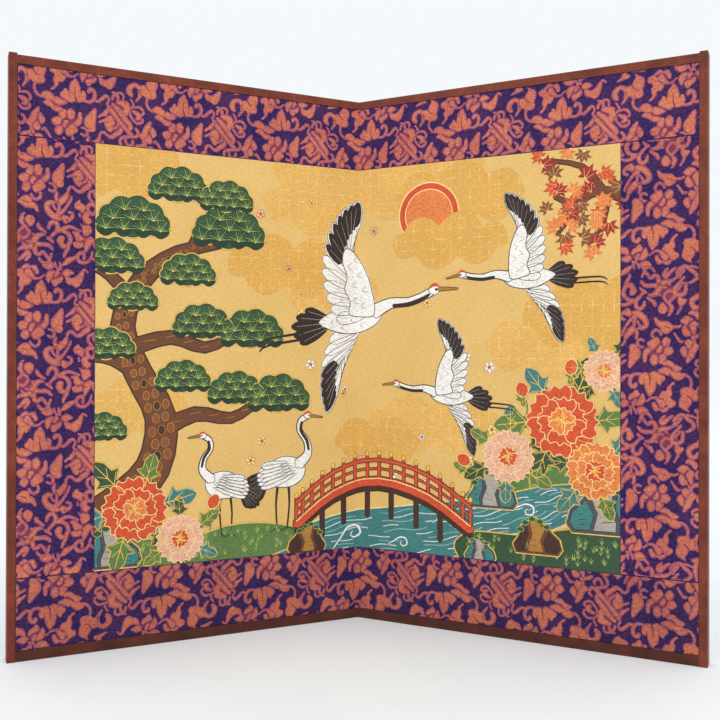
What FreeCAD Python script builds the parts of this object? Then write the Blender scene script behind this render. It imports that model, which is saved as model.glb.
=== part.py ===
import FreeCAD, Part
import os
import re
import Sketcher

# Two-panel folding screen for a table or shelf, in millimetres and degrees.
# Z is up, the painted faces look toward -Y, and the origin is the middle of the footprint.
# The right panel is drawn along +X from the fold axis, then turned to its standing angle.
# The left panel is its mirror image in the plane X = 0.

# Driving dimensions
SIZES = {
    # whole panel
    "panel_width": 288,
    "panel_height": 455,
    "fold_half_angle": 26,
    "fold_clearance": 0.06,
    "axis_clearance": 0.06,
    # lacquered outer frame
    "frame_face_width": 6,
    "top_rail_height": 6.6,
    "bottom_rail_height": 8,
    "stile_horn": 1.2,
    "frame_front_lip": 0.5,
    "frame_back_lip": 0.5,
    "frame_round": 0.6,
    "frame_arris": 0.3,
    "frame_tenon_length": 3.6,
    "frame_tenon_thickness": 4,
    "frame_tenon_shoulder": 1.4,
    # textile face
    "brocade_thickness": 0.8,
    "picture_step": 0.3,
    "border_top": 61.5,
    "border_bottom": 62,
    "border_side": 63,
    # papers, back cloth and the cloth round the fold edge
    "front_paper_thickness": 0.6,
    "back_paper_thickness": 0.6,
    "back_cloth_thickness": 0.6,
    "hinge_leaf_width": 22,
    "edge_cloth_thickness": 0.5,
    "edge_cloth_return": 10,
    # lattice core
    "core_thickness": 9,
    "core_member_width": 16,
    "core_tenon_length": 9,
    "core_tenon_thickness": 3,
    "core_tenon_shoulder": 3,
    "rib_width": 6,
    "rib_tenon_length": 5,
    "vertical_rib_count": 3,
    "horizontal_rib_count": 5,
    "corner_board_leg": 30,
    "corner_board_thickness": 4,
    "joint_clearance": 0.1,
    # forged pins that hold the frame to the core
    "pin_width": 1.6,
    "pin_length": 13,
    "pin_frame_depth": 4,
    "pin_point": 0.7,
}

# Origin planes by the view that a sketch on them is drawn in
PLAN = "XY_Plane"
ELEVATION = "XZ_Plane"
SIDE = "YZ_Plane"

# Levels through the thickness, from the front face to the back
FRAME_FRONT = "axis_clearance"
FACE_FRONT = f"({FRAME_FRONT} + frame_front_lip)"
PICTURE_FRONT = f"({FACE_FRONT} + picture_step)"
FACE_BACK = f"({FACE_FRONT} + brocade_thickness)"
CORE_FRONT = f"({FACE_BACK} + front_paper_thickness)"
CORE_MIDDLE = f"({CORE_FRONT} + core_thickness / 2)"
CORE_BACK = f"({CORE_FRONT} + core_thickness)"
PAPER_BACK = f"({CORE_BACK} + back_paper_thickness)"
CLOTH_BACK = f"({PAPER_BACK} + back_cloth_thickness)"
FRAME_BACK = f"({CLOTH_BACK} + frame_back_lip)"
FRAME_MIDDLE = f"(({FRAME_FRONT} + {FRAME_BACK}) / 2)"
FRAME_TENON_FRONT = f"({FRAME_MIDDLE} - frame_tenon_thickness / 2)"
CORE_TENON_FRONT = f"({CORE_MIDDLE} - core_tenon_thickness / 2)"

# Places across the panel, from the fold to the outer edge
FOLD_EDGE = "fold_clearance"
CORE_FOLD = f"({FOLD_EDGE} + edge_cloth_thickness)"
CORE_FOLD_INNER = f"({CORE_FOLD} + core_member_width)"
FRAME_INNER = "(panel_width - frame_face_width)"
CORE_OUTER_INNER = f"({FRAME_INNER} - core_member_width)"
PICTURE_SIDE = "(panel_width - border_side)"
LEAF_SIDE = f"({CORE_FOLD} + hinge_leaf_width)"
RETURN_SIDE = f"({FOLD_EDGE} + edge_cloth_return)"

# Heights
RAIL_HIGH = "(panel_height - stile_horn)"
CORE_LOW = "bottom_rail_height"
CORE_HIGH = f"({RAIL_HIGH} - top_rail_height)"
CORE_INNER_LOW = f"({CORE_LOW} + core_member_width)"
CORE_INNER_HIGH = f"({CORE_HIGH} - core_member_width)"
PICTURE_LOW = "border_bottom"
PICTURE_HIGH = "(panel_height - border_top)"

# Fold axis: set back so that the footprint is centred on the origin
FRONT_REACH = (
    f"(({FRAME_FRONT} + frame_round) * cos(fold_half_angle)"
    " - (panel_width - frame_round) * sin(fold_half_angle) - frame_round)"
)
BACK_REACH = f"({FRAME_BACK} * cos(fold_half_angle) - {FOLD_EDGE} * sin(fold_half_angle))"
FOLD_Y = f"(0 - ({FRONT_REACH} + {BACK_REACH}) / 2)"

# Two places count as one when they are this share of the finest edge apart
SAME_PLACE_SHARE = 0.02

doc = FreeCAD.newDocument("folding_screen")
sheet = doc.addObject("Spreadsheet::Sheet", "Sizes")
for row, (alias, size) in enumerate(SIZES.items(), 1):
    sheet.set(f"A{row}", alias)
    sheet.set(f"B{row}", str(size))
    sheet.setAlias(f"B{row}", alias)
doc.recompute()


def formula(text):
    """Point each size name in a formula at its cell."""
    return re.sub(r"[a-z_]+", lambda word: f"Sizes.{word[0]}" if word[0] in SIZES else word[0], text)


def value(text):
    """Work a formula out to a number."""
    return float(sheet.evalExpression(formula(text)))


def new_body(name):
    body = doc.addObject("PartDesign::Body", f"right_{name}")
    body.Label = f"right_{name}"
    body.AllowCompound = True
    return body


def sketch_on(body, name, plane, level):
    """Start a sketch on an origin plane of the body, moved to a level along its axis."""
    sketch = body.newObject("Sketcher::SketchObject", name)
    origin_plane = next(f for f in body.Origin.OriginFeatures if f.Role == plane)
    sketch.AttachmentSupport = [(origin_plane, "")]
    sketch.MapMode = "FlatFace"
    # the elevation plane's own normal looks toward -Y
    offset = f"0 - {level}" if plane == ELEVATION else level
    sketch.setExpression("AttachmentOffset.Base.z", formula(offset))
    return sketch


def plane_of(sketch):
    return sketch.AttachmentSupport[0][0].Role


def place_point(sketch, edge, point, across, up):
    """Tie one end or centre of a sketch edge to its place from the origin."""
    for kind, place in (("DistanceX", across), ("DistanceY", up)):
        row = sketch.addConstraint(Sketcher.Constraint(kind, -1, 1, edge, point, value(place)))
        sketch.setExpression(f"Constraints[{row}]", formula(place))


def outline(sketch, corners):
    """Closed straight-sided outline through corners given as pairs of formulas."""
    points = [FreeCAD.Vector(value(across), value(up), 0) for across, up in corners]
    first = sketch.GeometryCount
    count = len(points)
    for number in range(count):
        sketch.addGeometry(Part.LineSegment(points[number], points[(number + 1) % count]), False)
    for number in range(count):
        following = first + (number + 1) % count
        sketch.addConstraint(Sketcher.Constraint("Coincident", first + number, 2, following, 1))
    for number, (across, up) in enumerate(corners):
        place_point(sketch, first + number, 1, across, up)


def rectangle(sketch, left, right, low, high):
    outline(sketch, [(left, low), (right, low), (right, high), (left, high)])


def square(sketch, across, up, width):
    """Square about a centre."""
    rectangle(
        sketch,
        f"({across} - {width} / 2)",
        f"({across} + {width} / 2)",
        f"({up} - {width} / 2)",
        f"({up} + {width} / 2)",
    )


def pad(body, name, sketch, length):
    """Pad a sketch toward +X, +Y or +Z."""
    feature = body.newObject("PartDesign::Pad", name)
    feature.Profile = sketch
    feature.Reversed = plane_of(sketch) == ELEVATION
    feature.setExpression("Length", formula(length))
    doc.recompute()
    return feature


def pocket(body, name, sketch, depth, inward):
    """Cut a sketch into the body toward the plus (1) or minus (-1) side of its plane."""
    feature = body.newObject("PartDesign::Pocket", name)
    feature.Profile = sketch
    feature.Reversed = (inward > 0) != (plane_of(sketch) == ELEVATION)
    feature.setExpression("Length", formula(depth))
    doc.recompute()
    return feature


def edges_where(feature, test):
    """Names of the edges of a feature whose bounding box passes a test."""
    return [f"Edge{number}" for number, edge in enumerate(feature.Shape.Edges, 1) if test(edge)]


def lies_at(edge, **places):
    """True if the whole edge lies at the given x, y or z."""
    near = SAME_PLACE_SHARE * value("frame_arris")
    box = edge.BoundBox
    spans = {"x": (box.XMin, box.XMax), "y": (box.YMin, box.YMax), "z": (box.ZMin, box.ZMax)}
    return all(abs(end - value(place)) < near for axis, place in places.items() for end in spans[axis])


def dress(body, kind, name, feature, edges, size_name, size):
    """Round or bevel edges of a feature."""
    dressing = body.newObject(f"PartDesign::{kind}", name)
    dressing.Base = (feature, edges)
    dressing.setExpression(size_name, formula(size))
    doc.recompute()
    return dressing


def cell_size(count, low, high):
    """Clear opening between ribs that share a span evenly."""
    return f"(({high} - {low} - {count} * rib_width) / ({count} + 1))"


def rib_start(number, count, low, high):
    """Near side of one rib, counted from 1."""
    return f"({low} + {number} * ({cell_size(count, low, high)} + rib_width) - rib_width)"


def cell_centre(number, count, low, high):
    """Middle of one opening, counted from 0."""
    clear = cell_size(count, low, high)
    return f"({low} + {number} * ({clear} + rib_width) + {clear} / 2)"


VERTICAL_SPAN = ("vertical_rib_count", CORE_FOLD_INNER, CORE_OUTER_INNER)
HORIZONTAL_SPAN = ("horizontal_rib_count", CORE_INNER_LOW, CORE_INNER_HIGH)
vertical_count = int(value("vertical_rib_count"))
horizontal_count = int(value("horizontal_rib_count"))
VERTICAL_RIBS = [rib_start(number, *VERTICAL_SPAN) for number in range(1, vertical_count + 1)]
HORIZONTAL_RIBS = [rib_start(number, *HORIZONTAL_SPAN) for number in range(1, horizontal_count + 1)]
COLUMN_CENTRES = [cell_centre(number, *VERTICAL_SPAN) for number in range(vertical_count + 1)]
ROW_CENTRES = [cell_centre(number, *HORIZONTAL_SPAN) for number in range(horizontal_count + 1)]

PIN_HOLE = "(pin_width + 2 * joint_clearance)"
PIN_CORE_DEPTH = "(pin_length - pin_frame_depth)"


def pin_holes(body, name, plane, level, centres, depth, inward):
    """Blind holes for the frame pins, from the face where frame and core meet."""
    holes = sketch_on(body, f"{name}_mouths", plane, level)
    for across, up in centres:
        square(holes, across, up, PIN_HOLE)
    pocket(body, name, holes, f"({depth} + joint_clearance)", inward)


STILE_PINS = [(CORE_MIDDLE, height) for height in ROW_CENTRES]
RAIL_PINS = [(across, CORE_MIDDLE) for across in COLUMN_CENTRES]


# Outer frame

def frame_stile():
    """Outer upright: full height, its top standing a little above the top rail."""
    body = new_body("frame_stile")
    section = sketch_on(body, "section", PLAN, "0")
    rectangle(section, FRAME_INNER, "panel_width", FRAME_FRONT, FRAME_BACK)
    bar = pad(body, "bar", section, "panel_height")
    outer = edges_where(bar, lambda edge: lies_at(edge, x="panel_width", y=FRAME_FRONT)
                        or lies_at(edge, x="panel_width", y=FRAME_BACK))
    rounded = dress(body, "Fillet", "outer_rounds", bar, outer, "Radius", "frame_round")
    top = edges_where(rounded, lambda edge: lies_at(edge, z="panel_height"))
    dress(body, "Chamfer", "top_bevel", rounded, top, "Size", "frame_arris")
    mortises = sketch_on(body, "mortise_faces", SIDE, FRAME_INNER)
    for low, high in (("0", CORE_LOW), (CORE_HIGH, RAIL_HIGH)):
        rectangle(
            mortises,
            f"({FRAME_TENON_FRONT} - joint_clearance)",
            f"({FRAME_TENON_FRONT} + frame_tenon_thickness + joint_clearance)",
            f"({low} + frame_tenon_shoulder - joint_clearance)",
            f"({high} - frame_tenon_shoulder + joint_clearance)",
        )
    pocket(body, "mortises", mortises, "(frame_tenon_length + joint_clearance)", 1)
    pin_holes(body, "pin_holes", SIDE, FRAME_INNER, STILE_PINS, "pin_frame_depth", 1)
    return body


def frame_rail(name, low, high, outer_level, inner_level, inward):
    """Top or bottom rail: from the fold to the stile, with a stub tenon into it."""
    body = new_body(name)
    section = sketch_on(body, "section", SIDE, FOLD_EDGE)
    rectangle(section, FRAME_FRONT, FRAME_BACK, low, high)
    bar = pad(body, "bar", section, f"({FRAME_INNER} - {FOLD_EDGE})")
    outer = edges_where(bar, lambda edge: lies_at(edge, z=outer_level, y=FRAME_FRONT)
                        or lies_at(edge, z=outer_level, y=FRAME_BACK))
    dress(body, "Fillet", "outer_rounds", bar, outer, "Radius", "frame_round")
    tenon = sketch_on(body, "tenon_section", SIDE, FRAME_INNER)
    rectangle(
        tenon,
        FRAME_TENON_FRONT,
        f"({FRAME_TENON_FRONT} + frame_tenon_thickness)",
        f"({low} + frame_tenon_shoulder)",
        f"({high} - frame_tenon_shoulder)",
    )
    pad(body, "tenon", tenon, "frame_tenon_length")
    pin_holes(body, "pin_holes", PLAN, inner_level, RAIL_PINS, "pin_frame_depth", inward)
    return body


def frame_top_rail():
    return frame_rail("frame_top_rail", CORE_HIGH, RAIL_HIGH, RAIL_HIGH, CORE_HIGH, 1)


def frame_bottom_rail():
    return frame_rail("frame_bottom_rail", "0", CORE_LOW, "0", CORE_LOW, -1)


def frame_pins():
    """Square forged pins, pointed at both ends, one to each lattice cell along the frame."""
    body = new_body("frame_pins")
    stile_pins = sketch_on(body, "stile_pin_sections", SIDE, f"({FRAME_INNER} - {PIN_CORE_DEPTH})")
    for across, up in STILE_PINS:
        square(stile_pins, across, up, "pin_width")
    pins = pad(body, "stile_pins", stile_pins, "pin_length")
    for name, start in (
        ("bottom_pins", f"({CORE_LOW} - pin_frame_depth)"),
        ("top_pins", f"({CORE_HIGH} - {PIN_CORE_DEPTH})"),
    ):
        rail_pins = sketch_on(body, f"{name}_sections", PLAN, start)
        for across, up in RAIL_PINS:
            square(rail_pins, across, up, "pin_width")
        pins = pad(body, name, rail_pins, "pin_length")
    ends = edges_where(pins, lambda edge: edge.Length < value("pin_length") / 2)
    dress(body, "Chamfer", "points", pins, ends, "Size", "pin_point")
    return body


# Lattice core

def core_plate(body, name, left, right, low, high):
    """Core member as thick as the core."""
    face = sketch_on(body, f"{name}_face", ELEVATION, CORE_FRONT)
    rectangle(face, left, right, low, high)
    return pad(body, name, face, "core_thickness")


def core_stile(name, left, right, inner_face, inward):
    """Upright of the core, mortised on its inner face for both rails and every rib."""
    body = new_body(name)
    core_plate(body, "bar", left, right, CORE_LOW, CORE_HIGH)
    front = f"({CORE_TENON_FRONT} - joint_clearance)"
    back = f"({CORE_TENON_FRONT} + core_tenon_thickness + joint_clearance)"
    rails = sketch_on(body, "rail_mortise_faces", SIDE, inner_face)
    for low, high in ((CORE_LOW, CORE_INNER_LOW), (CORE_INNER_HIGH, CORE_HIGH)):
        rectangle(
            rails,
            front,
            back,
            f"({low} + core_tenon_shoulder - joint_clearance)",
            f"({high} - core_tenon_shoulder + joint_clearance)",
        )
    pocket(body, "rail_mortises", rails, "(core_tenon_length + joint_clearance)", inward)
    ribs = sketch_on(body, "rib_mortise_faces", SIDE, inner_face)
    for start in HORIZONTAL_RIBS:
        low = f"({start} - joint_clearance)"
        rectangle(ribs, front, back, low, f"({start} + rib_width + joint_clearance)")
    pocket(body, "rib_mortises", ribs, "(rib_tenon_length + joint_clearance)", inward)
    return body


def core_outer_stile():
    body = core_stile("core_outer_stile", CORE_OUTER_INNER, FRAME_INNER, CORE_OUTER_INNER, 1)
    pin_holes(body, "pin_holes", SIDE, FRAME_INNER, STILE_PINS, PIN_CORE_DEPTH, -1)
    return body


def core_fold_stile():
    return core_stile("core_fold_stile", CORE_FOLD, CORE_FOLD_INNER, CORE_FOLD_INNER, -1)


def core_rail(name, low, high, inner_face, outer_face, inward):
    """Cross member of the core: a tenon at each end, mortised for the vertical ribs."""
    body = new_body(name)
    core_plate(body, "bar", CORE_FOLD_INNER, CORE_OUTER_INNER, low, high)
    tenons = sketch_on(body, "tenon_face", ELEVATION, CORE_TENON_FRONT)
    rectangle(
        tenons,
        f"({CORE_FOLD_INNER} - core_tenon_length)",
        f"({CORE_OUTER_INNER} + core_tenon_length)",
        f"({low} + core_tenon_shoulder)",
        f"({high} - core_tenon_shoulder)",
    )
    pad(body, "tenons", tenons, "core_tenon_thickness")
    ribs = sketch_on(body, "rib_mortise_faces", PLAN, inner_face)
    for start in VERTICAL_RIBS:
        rectangle(
            ribs,
            f"({start} - joint_clearance)",
            f"({start} + rib_width + joint_clearance)",
            f"({CORE_TENON_FRONT} - joint_clearance)",
            f"({CORE_TENON_FRONT} + core_tenon_thickness + joint_clearance)",
        )
    pocket(body, "rib_mortises", ribs, "(rib_tenon_length + joint_clearance)", inward)
    pin_holes(body, "pin_holes", PLAN, outer_face, RAIL_PINS, PIN_CORE_DEPTH, -inward)
    return body


def core_top_rail():
    return core_rail("core_top_rail", CORE_INNER_HIGH, CORE_HIGH, CORE_INNER_HIGH, CORE_HIGH, 1)


def core_bottom_rail():
    return core_rail("core_bottom_rail", CORE_LOW, CORE_INNER_LOW, CORE_INNER_LOW, CORE_LOW, -1)


def core_vertical_ribs():
    """Upright ribs, notched through their front half where the others cross."""
    body = new_body("core_vertical_ribs")
    bars = sketch_on(body, "bar_faces", ELEVATION, CORE_FRONT)
    tenons = sketch_on(body, "tenon_faces", ELEVATION, CORE_TENON_FRONT)
    for start in VERTICAL_RIBS:
        end = f"({start} + rib_width)"
        rectangle(bars, start, end, CORE_INNER_LOW, CORE_INNER_HIGH)
        rectangle(
            tenons,
            start,
            end,
            f"({CORE_INNER_LOW} - rib_tenon_length)",
            f"({CORE_INNER_HIGH} + rib_tenon_length)",
        )
    pad(body, "bars", bars, "core_thickness")
    pad(body, "tenons", tenons, "core_tenon_thickness")
    notches = sketch_on(body, "notch_faces", ELEVATION, CORE_FRONT)
    for start in HORIZONTAL_RIBS:
        rectangle(
            notches,
            CORE_FOLD_INNER,
            CORE_OUTER_INNER,
            f"({start} - joint_clearance)",
            f"({start} + rib_width + joint_clearance)",
        )
    pocket(body, "notches", notches, "core_thickness / 2", 1)
    return body


def core_horizontal_ribs():
    """Cross ribs, notched through their back half where the uprights pass."""
    body = new_body("core_horizontal_ribs")
    bars = sketch_on(body, "bar_faces", ELEVATION, CORE_FRONT)
    tenons = sketch_on(body, "tenon_faces", ELEVATION, CORE_TENON_FRONT)
    for start in HORIZONTAL_RIBS:
        end = f"({start} + rib_width)"
        rectangle(bars, CORE_FOLD_INNER, CORE_OUTER_INNER, start, end)
        rectangle(
            tenons,
            f"({CORE_FOLD_INNER} - rib_tenon_length)",
            f"({CORE_OUTER_INNER} + rib_tenon_length)",
            start,
            end,
        )
    pad(body, "bars", bars, "core_thickness")
    pad(body, "tenons", tenons, "core_tenon_thickness")
    notches = sketch_on(body, "notch_faces", ELEVATION, CORE_BACK)
    for start in VERTICAL_RIBS:
        rectangle(
            notches,
            f"({start} - joint_clearance)",
            f"({start} + rib_width + joint_clearance)",
            CORE_INNER_LOW,
            CORE_INNER_HIGH,
        )
    pocket(body, "notches", notches, "core_thickness / 2", -1)
    return body


def core_corner_boards():
    """Triangular boards that brace the four corners inside the core."""
    body = new_body("core_corner_boards")
    boards = sketch_on(body, "board_faces", ELEVATION, f"({CORE_MIDDLE} - corner_board_thickness / 2)")
    for side, toward_middle in ((CORE_FOLD_INNER, "+"), (CORE_OUTER_INNER, "-")):
        for height, inward in ((CORE_INNER_LOW, "+"), (CORE_INNER_HIGH, "-")):
            outline(
                boards,
                [
                    (side, height),
                    (f"({side} {toward_middle} corner_board_leg)", height),
                    (side, f"({height} {inward} corner_board_leg)"),
                ],
            )
    pad(body, "boards", boards, "corner_board_thickness")
    return body


# Papers and cloths

def flat_sheet(name, left, right, low, high, front, back):
    """Sheet that is pasted flat on the panel."""
    body = new_body(name)
    face = sketch_on(body, "face", ELEVATION, front)
    rectangle(face, left, right, low, high)
    pad(body, "sheet", face, f"({back} - {front})")
    return body


def front_paper():
    return flat_sheet("front_paper", LEAF_SIDE, FRAME_INNER, CORE_LOW, CORE_HIGH, FACE_BACK, CORE_FRONT)


def hinge_leaf():
    """Cloth hinge strip under the face, pasted on the core beside the fold."""
    return flat_sheet("hinge_leaf", CORE_FOLD, LEAF_SIDE, CORE_LOW, CORE_HIGH, FACE_BACK, CORE_FRONT)


def back_paper():
    return flat_sheet("back_paper", CORE_FOLD, FRAME_INNER, CORE_LOW, CORE_HIGH, CORE_BACK, PAPER_BACK)


def back_cloth():
    return flat_sheet("back_cloth", RETURN_SIDE, FRAME_INNER, CORE_LOW, CORE_HIGH, PAPER_BACK, CLOTH_BACK)


def fold_edge_cloth():
    """Cloth that covers the fold edge of the core and turns onto the back."""
    body = new_body("fold_edge_cloth")
    section = sketch_on(body, "section", PLAN, CORE_LOW)
    outline(
        section,
        [
            (FOLD_EDGE, FACE_BACK),
            (CORE_FOLD, FACE_BACK),
            (CORE_FOLD, PAPER_BACK),
            (RETURN_SIDE, PAPER_BACK),
            (RETURN_SIDE, CLOTH_BACK),
            (FOLD_EDGE, CLOTH_BACK),
        ],
    )
    strip = pad(body, "strip", section, f"({CORE_HIGH} - {CORE_LOW})")
    corner = edges_where(strip, lambda edge: lies_at(edge, x=FOLD_EDGE, y=CLOTH_BACK))
    dress(body, "Fillet", "turn", strip, corner, "Radius", "edge_cloth_thickness")
    return body


def picture_half():
    """Woven picture, set slightly below the brocade round it."""
    return flat_sheet(
        "picture_half", FOLD_EDGE, PICTURE_SIDE, PICTURE_LOW, PICTURE_HIGH, PICTURE_FRONT, FACE_BACK
    )


def border_top_half():
    return flat_sheet(
        "border_top_half", FOLD_EDGE, FRAME_INNER, PICTURE_HIGH, CORE_HIGH, FACE_FRONT, FACE_BACK
    )


def border_bottom_half():
    return flat_sheet(
        "border_bottom_half", FOLD_EDGE, FRAME_INNER, CORE_LOW, PICTURE_LOW, FACE_FRONT, FACE_BACK
    )


def border_side():
    return flat_sheet(
        "border_side", PICTURE_SIDE, FRAME_INNER, PICTURE_LOW, PICTURE_HIGH, FACE_FRONT, FACE_BACK
    )


def mirrored(body):
    """Left-hand twin of a right-hand piece."""
    twin = doc.addObject("Part::Mirroring", body.Label.replace("right_", "left_"))
    twin.Label = twin.Name
    twin.Source = body
    twin.Base = (0, 0, 0)
    twin.Normal = (1, 0, 0)
    return twin


PIECES = (
    frame_stile,
    frame_top_rail,
    frame_bottom_rail,
    frame_pins,
    core_outer_stile,
    core_fold_stile,
    core_top_rail,
    core_bottom_rail,
    core_vertical_ribs,
    core_horizontal_ribs,
    core_corner_boards,
    front_paper,
    hinge_leaf,
    back_paper,
    back_cloth,
    fold_edge_cloth,
    picture_half,
    border_top_half,
    border_bottom_half,
    border_side,
)

nodes = []
for make_piece in PIECES:
    right_piece = make_piece()
    right_piece.setExpression(
        "Placement",
        formula(f"placement(vector(0; {FOLD_Y}; 0); rotation(vector(0; 0; 1); 0 - fold_half_angle))"),
    )
    nodes += [right_piece, mirrored(right_piece)]
doc.recompute()

# Every feature has to be sound, and every pocket has to have cut something
for item in doc.Objects:
    if "Invalid" in item.State or "Error" in item.State:
        raise RuntimeError(f"{item.Label} failed: {item.State}")
    if item.TypeId == "PartDesign::Pocket" and item.Shape.Volume >= item.BaseFeature.Shape.Volume:
        raise RuntimeError(f"{item.Label} cuts nothing")
for node in nodes:
    if node.Shape.isNull() or not node.Shape.isValid():
        raise RuntimeError(f"{node.Label} has no sound shape")

os.makedirs("parts", exist_ok=True)
for node in nodes:
    node.Shape.exportStep(f"parts/{node.Label}.step")

whole = Part.makeCompound([node.Shape for node in nodes]).BoundBox
print(f"fold axis at y = {value(FOLD_Y):.4f} mm")
print(f"whole screen {whole.XLength:.2f} x {whole.YLength:.2f} x {whole.ZLength:.2f} mm")
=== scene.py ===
import math
import random

import bmesh
import bpy
from mathutils import Matrix, Vector
from mathutils.geometry import tessellate_polygon


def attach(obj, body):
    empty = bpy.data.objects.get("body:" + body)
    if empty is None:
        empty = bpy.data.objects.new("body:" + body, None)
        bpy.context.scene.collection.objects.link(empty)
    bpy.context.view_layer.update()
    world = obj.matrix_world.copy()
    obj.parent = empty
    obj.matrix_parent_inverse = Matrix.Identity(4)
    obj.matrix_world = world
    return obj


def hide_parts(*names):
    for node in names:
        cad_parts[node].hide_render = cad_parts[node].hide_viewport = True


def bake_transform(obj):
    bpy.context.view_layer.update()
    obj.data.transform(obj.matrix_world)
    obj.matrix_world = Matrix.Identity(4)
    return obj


# Looks of a two-panel byobu screen: brocade strips round a woven picture, drawn flat and bent at the fold
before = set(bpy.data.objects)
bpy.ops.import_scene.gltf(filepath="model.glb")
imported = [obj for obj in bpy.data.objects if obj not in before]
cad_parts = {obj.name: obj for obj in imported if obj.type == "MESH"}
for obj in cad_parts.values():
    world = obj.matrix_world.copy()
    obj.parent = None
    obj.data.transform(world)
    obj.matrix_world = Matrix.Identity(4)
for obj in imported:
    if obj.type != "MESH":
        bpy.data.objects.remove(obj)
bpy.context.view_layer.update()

# Sizes from the CAD source, in millimetres and degrees
MM = 0.001
HALF_ANGLE = math.radians(26.0)
FOLD_Y = 57.3211
BROCADE_FRONT = 0.56
PICTURE_FRONT = 0.86
FACE_BACK = 1.36
PAPER_BACK = 11.56
CLOTH_BACK = 12.16
FOLD_EDGE = 0.06
CORE_FOLD = 0.56
RETURN_SIDE = 10.06
FRAME_INNER = 282.0
CORE_LOW = 8.0
CORE_HIGH = 447.2
RAIL_LOW = 0.3
RAIL_HIGH = 453.5
SLIT = 0.08
PICTURE_SIDE = 225.0
PICTURE_LOW = 62.0
PICTURE_HIGH = 393.5

# The bend at the fold: how far it reaches to each side, how many cuts the cloths have in that reach, and how
# often its angle is refined
FOLD_REACH = 1.2
FOLD_CUTS = 3
FOLD_PASSES = 30

# The cloths: their rounded edges, the steps of their grid and the turned-in edge that closes the slit at
# the fold, which lies so far before the back of the face
EDGE_ROUND = 0.25
GRID_STEP = 12.0
SLIT_CLOTH_FRONT = 0.9
SLIT_CLOTH_BACK = 0.3

# The brocade's figures: how far they and their parts rise from the ground, how wide the slopes and the
# bands at their edges are, and how far they spread past their drawn outline
FIGURE_RISE = 0.15
CORE_RISE = 0.01
UNDER_RISE = 0.08
VEIN_RISE = 0.03
FIGURE_SLOPE = 0.32
VEIN_SLOPE = 0.1
FIGURE_SPREAD = 0.32
EDGE_BAND = 0.5
SEAM = 0.45
# In a narrow place an inner outline comes no farther in than this share of the width there
NARROW_SHARE = 0.34
WIDEST_NARROW = 9.0
# The most that each ring of a stroke lies inside its side, as a share of its width, and its blunt ends
STROKE_SHARES = (0.0, 0.28, 0.38)
TIP_SHARE = 0.9
# Points nearer than this are one when a mesh is cut, and a triangle of a smaller area is left out
CUT_DISTANCE = 1e-4
SMALLEST_AREA = 1e-7
# How many straight pieces a curve has between two of its drawn points
CURVE_CUTS = 3


def add_object(name, data):
    """Put an object with that data into the scene."""
    made = bpy.data.objects.new(name, data)
    bpy.context.scene.collection.objects.link(made)
    return made


# The camera, at the photo's angle
CAMERA_PLACE = (11.07, -725.96, 223.17)
CAMERA_YAW = math.radians(0.712)
CAMERA_PITCH = math.radians(0.238)
CAMERA_ROLL = math.radians(-0.132)
camera_data = bpy.data.cameras.new("camera")
camera_data.sensor_width = 36.0
camera_data.lens = 44.45
camera_data.clip_start = 0.01
camera_data.clip_end = 50.0
camera = add_object("camera", camera_data)
camera.matrix_world = (
    Matrix.Translation(Vector(CAMERA_PLACE) * MM)
    @ Matrix.Rotation(CAMERA_YAW, 4, "Z")
    @ Matrix.Rotation(math.pi / 2 + CAMERA_PITCH, 4, "X")
    @ Matrix.Rotation(-CAMERA_ROLL, 4, "Z")
)
bpy.context.scene.camera = camera


# From the flat face to the standing screen
def turn_share(x):
    """Share of the standing angle at a place across the fold, from -1 on the left to 1 on the right."""
    t = min(max((x + FOLD_REACH) / (2 * FOLD_REACH), 0.0), 1.0)
    return 2 * (t * t * (3 - 2 * t)) - 1


def turned(across, through, angle):
    """The x and y of a place on a panel that stands at that angle."""
    x = across * math.cos(angle) + through * math.sin(angle)
    y = FOLD_Y - across * math.sin(angle) + through * math.cos(angle)
    return x, y


def bend(across, through, up):
    """Place on the standing screen of a point that is given on the flat one."""
    angle = HALF_ANGLE if across > 0 else -HALF_ANGLE
    x, y = turned(across, through, angle)
    if abs(x) < FOLD_REACH or abs(across) < FOLD_REACH:
        x = across
        for _ in range(FOLD_PASSES):
            angle = HALF_ANGLE * turn_share(x)
            x, y = turned(across, through, angle)
    return Vector((x, y, up)) * MM


def finish_mesh(name, bm, materials, side=0):
    """Stand up a mesh drawn flat, as across, through and up, with its flat UV map, and make its object.

    A side of -1 or 1 stands it on that panel alone, and 0 bends it over both at the fold."""
    layer = bm.loops.layers.uv.new("flat")
    for face in bm.faces:
        for loop in face.loops:
            across, _, up = loop.vert.co
            loop[layer].uv = (across * MM, up * MM)
    for vert in bm.verts:
        if side:
            x, y = turned(vert.co.x, vert.co.y, HALF_ANGLE)
            vert.co = Vector((side * x, y, vert.co.z)) * MM
        else:
            vert.co = bend(*vert.co)
    if side < 0:
        bmesh.ops.reverse_faces(bm, faces=bm.faces[:])
    mesh = bpy.data.meshes.new(name)
    bm.to_mesh(mesh)
    bm.free()
    for material in materials:
        mesh.materials.append(material)
    return add_object(name, mesh)


def cut(bm, place, normal, clears):
    """Cut a mesh at a plane, and clear the side that its normal points to if asked."""
    everything = bm.verts[:] + bm.edges[:] + bm.faces[:]
    bmesh.ops.bisect_plane(
        bm, geom=everything, plane_co=place, plane_no=normal, clear_outer=clears, dist=CUT_DISTANCE
    )


def cut_at_fold(bm):
    """Cut a flat mesh along the lines at which it bends."""
    for step in range(-FOLD_CUTS, FOLD_CUTS + 1):
        cut(bm, (FOLD_REACH * step / FOLD_CUTS, 0, 0), (1, 0, 0), False)


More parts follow.
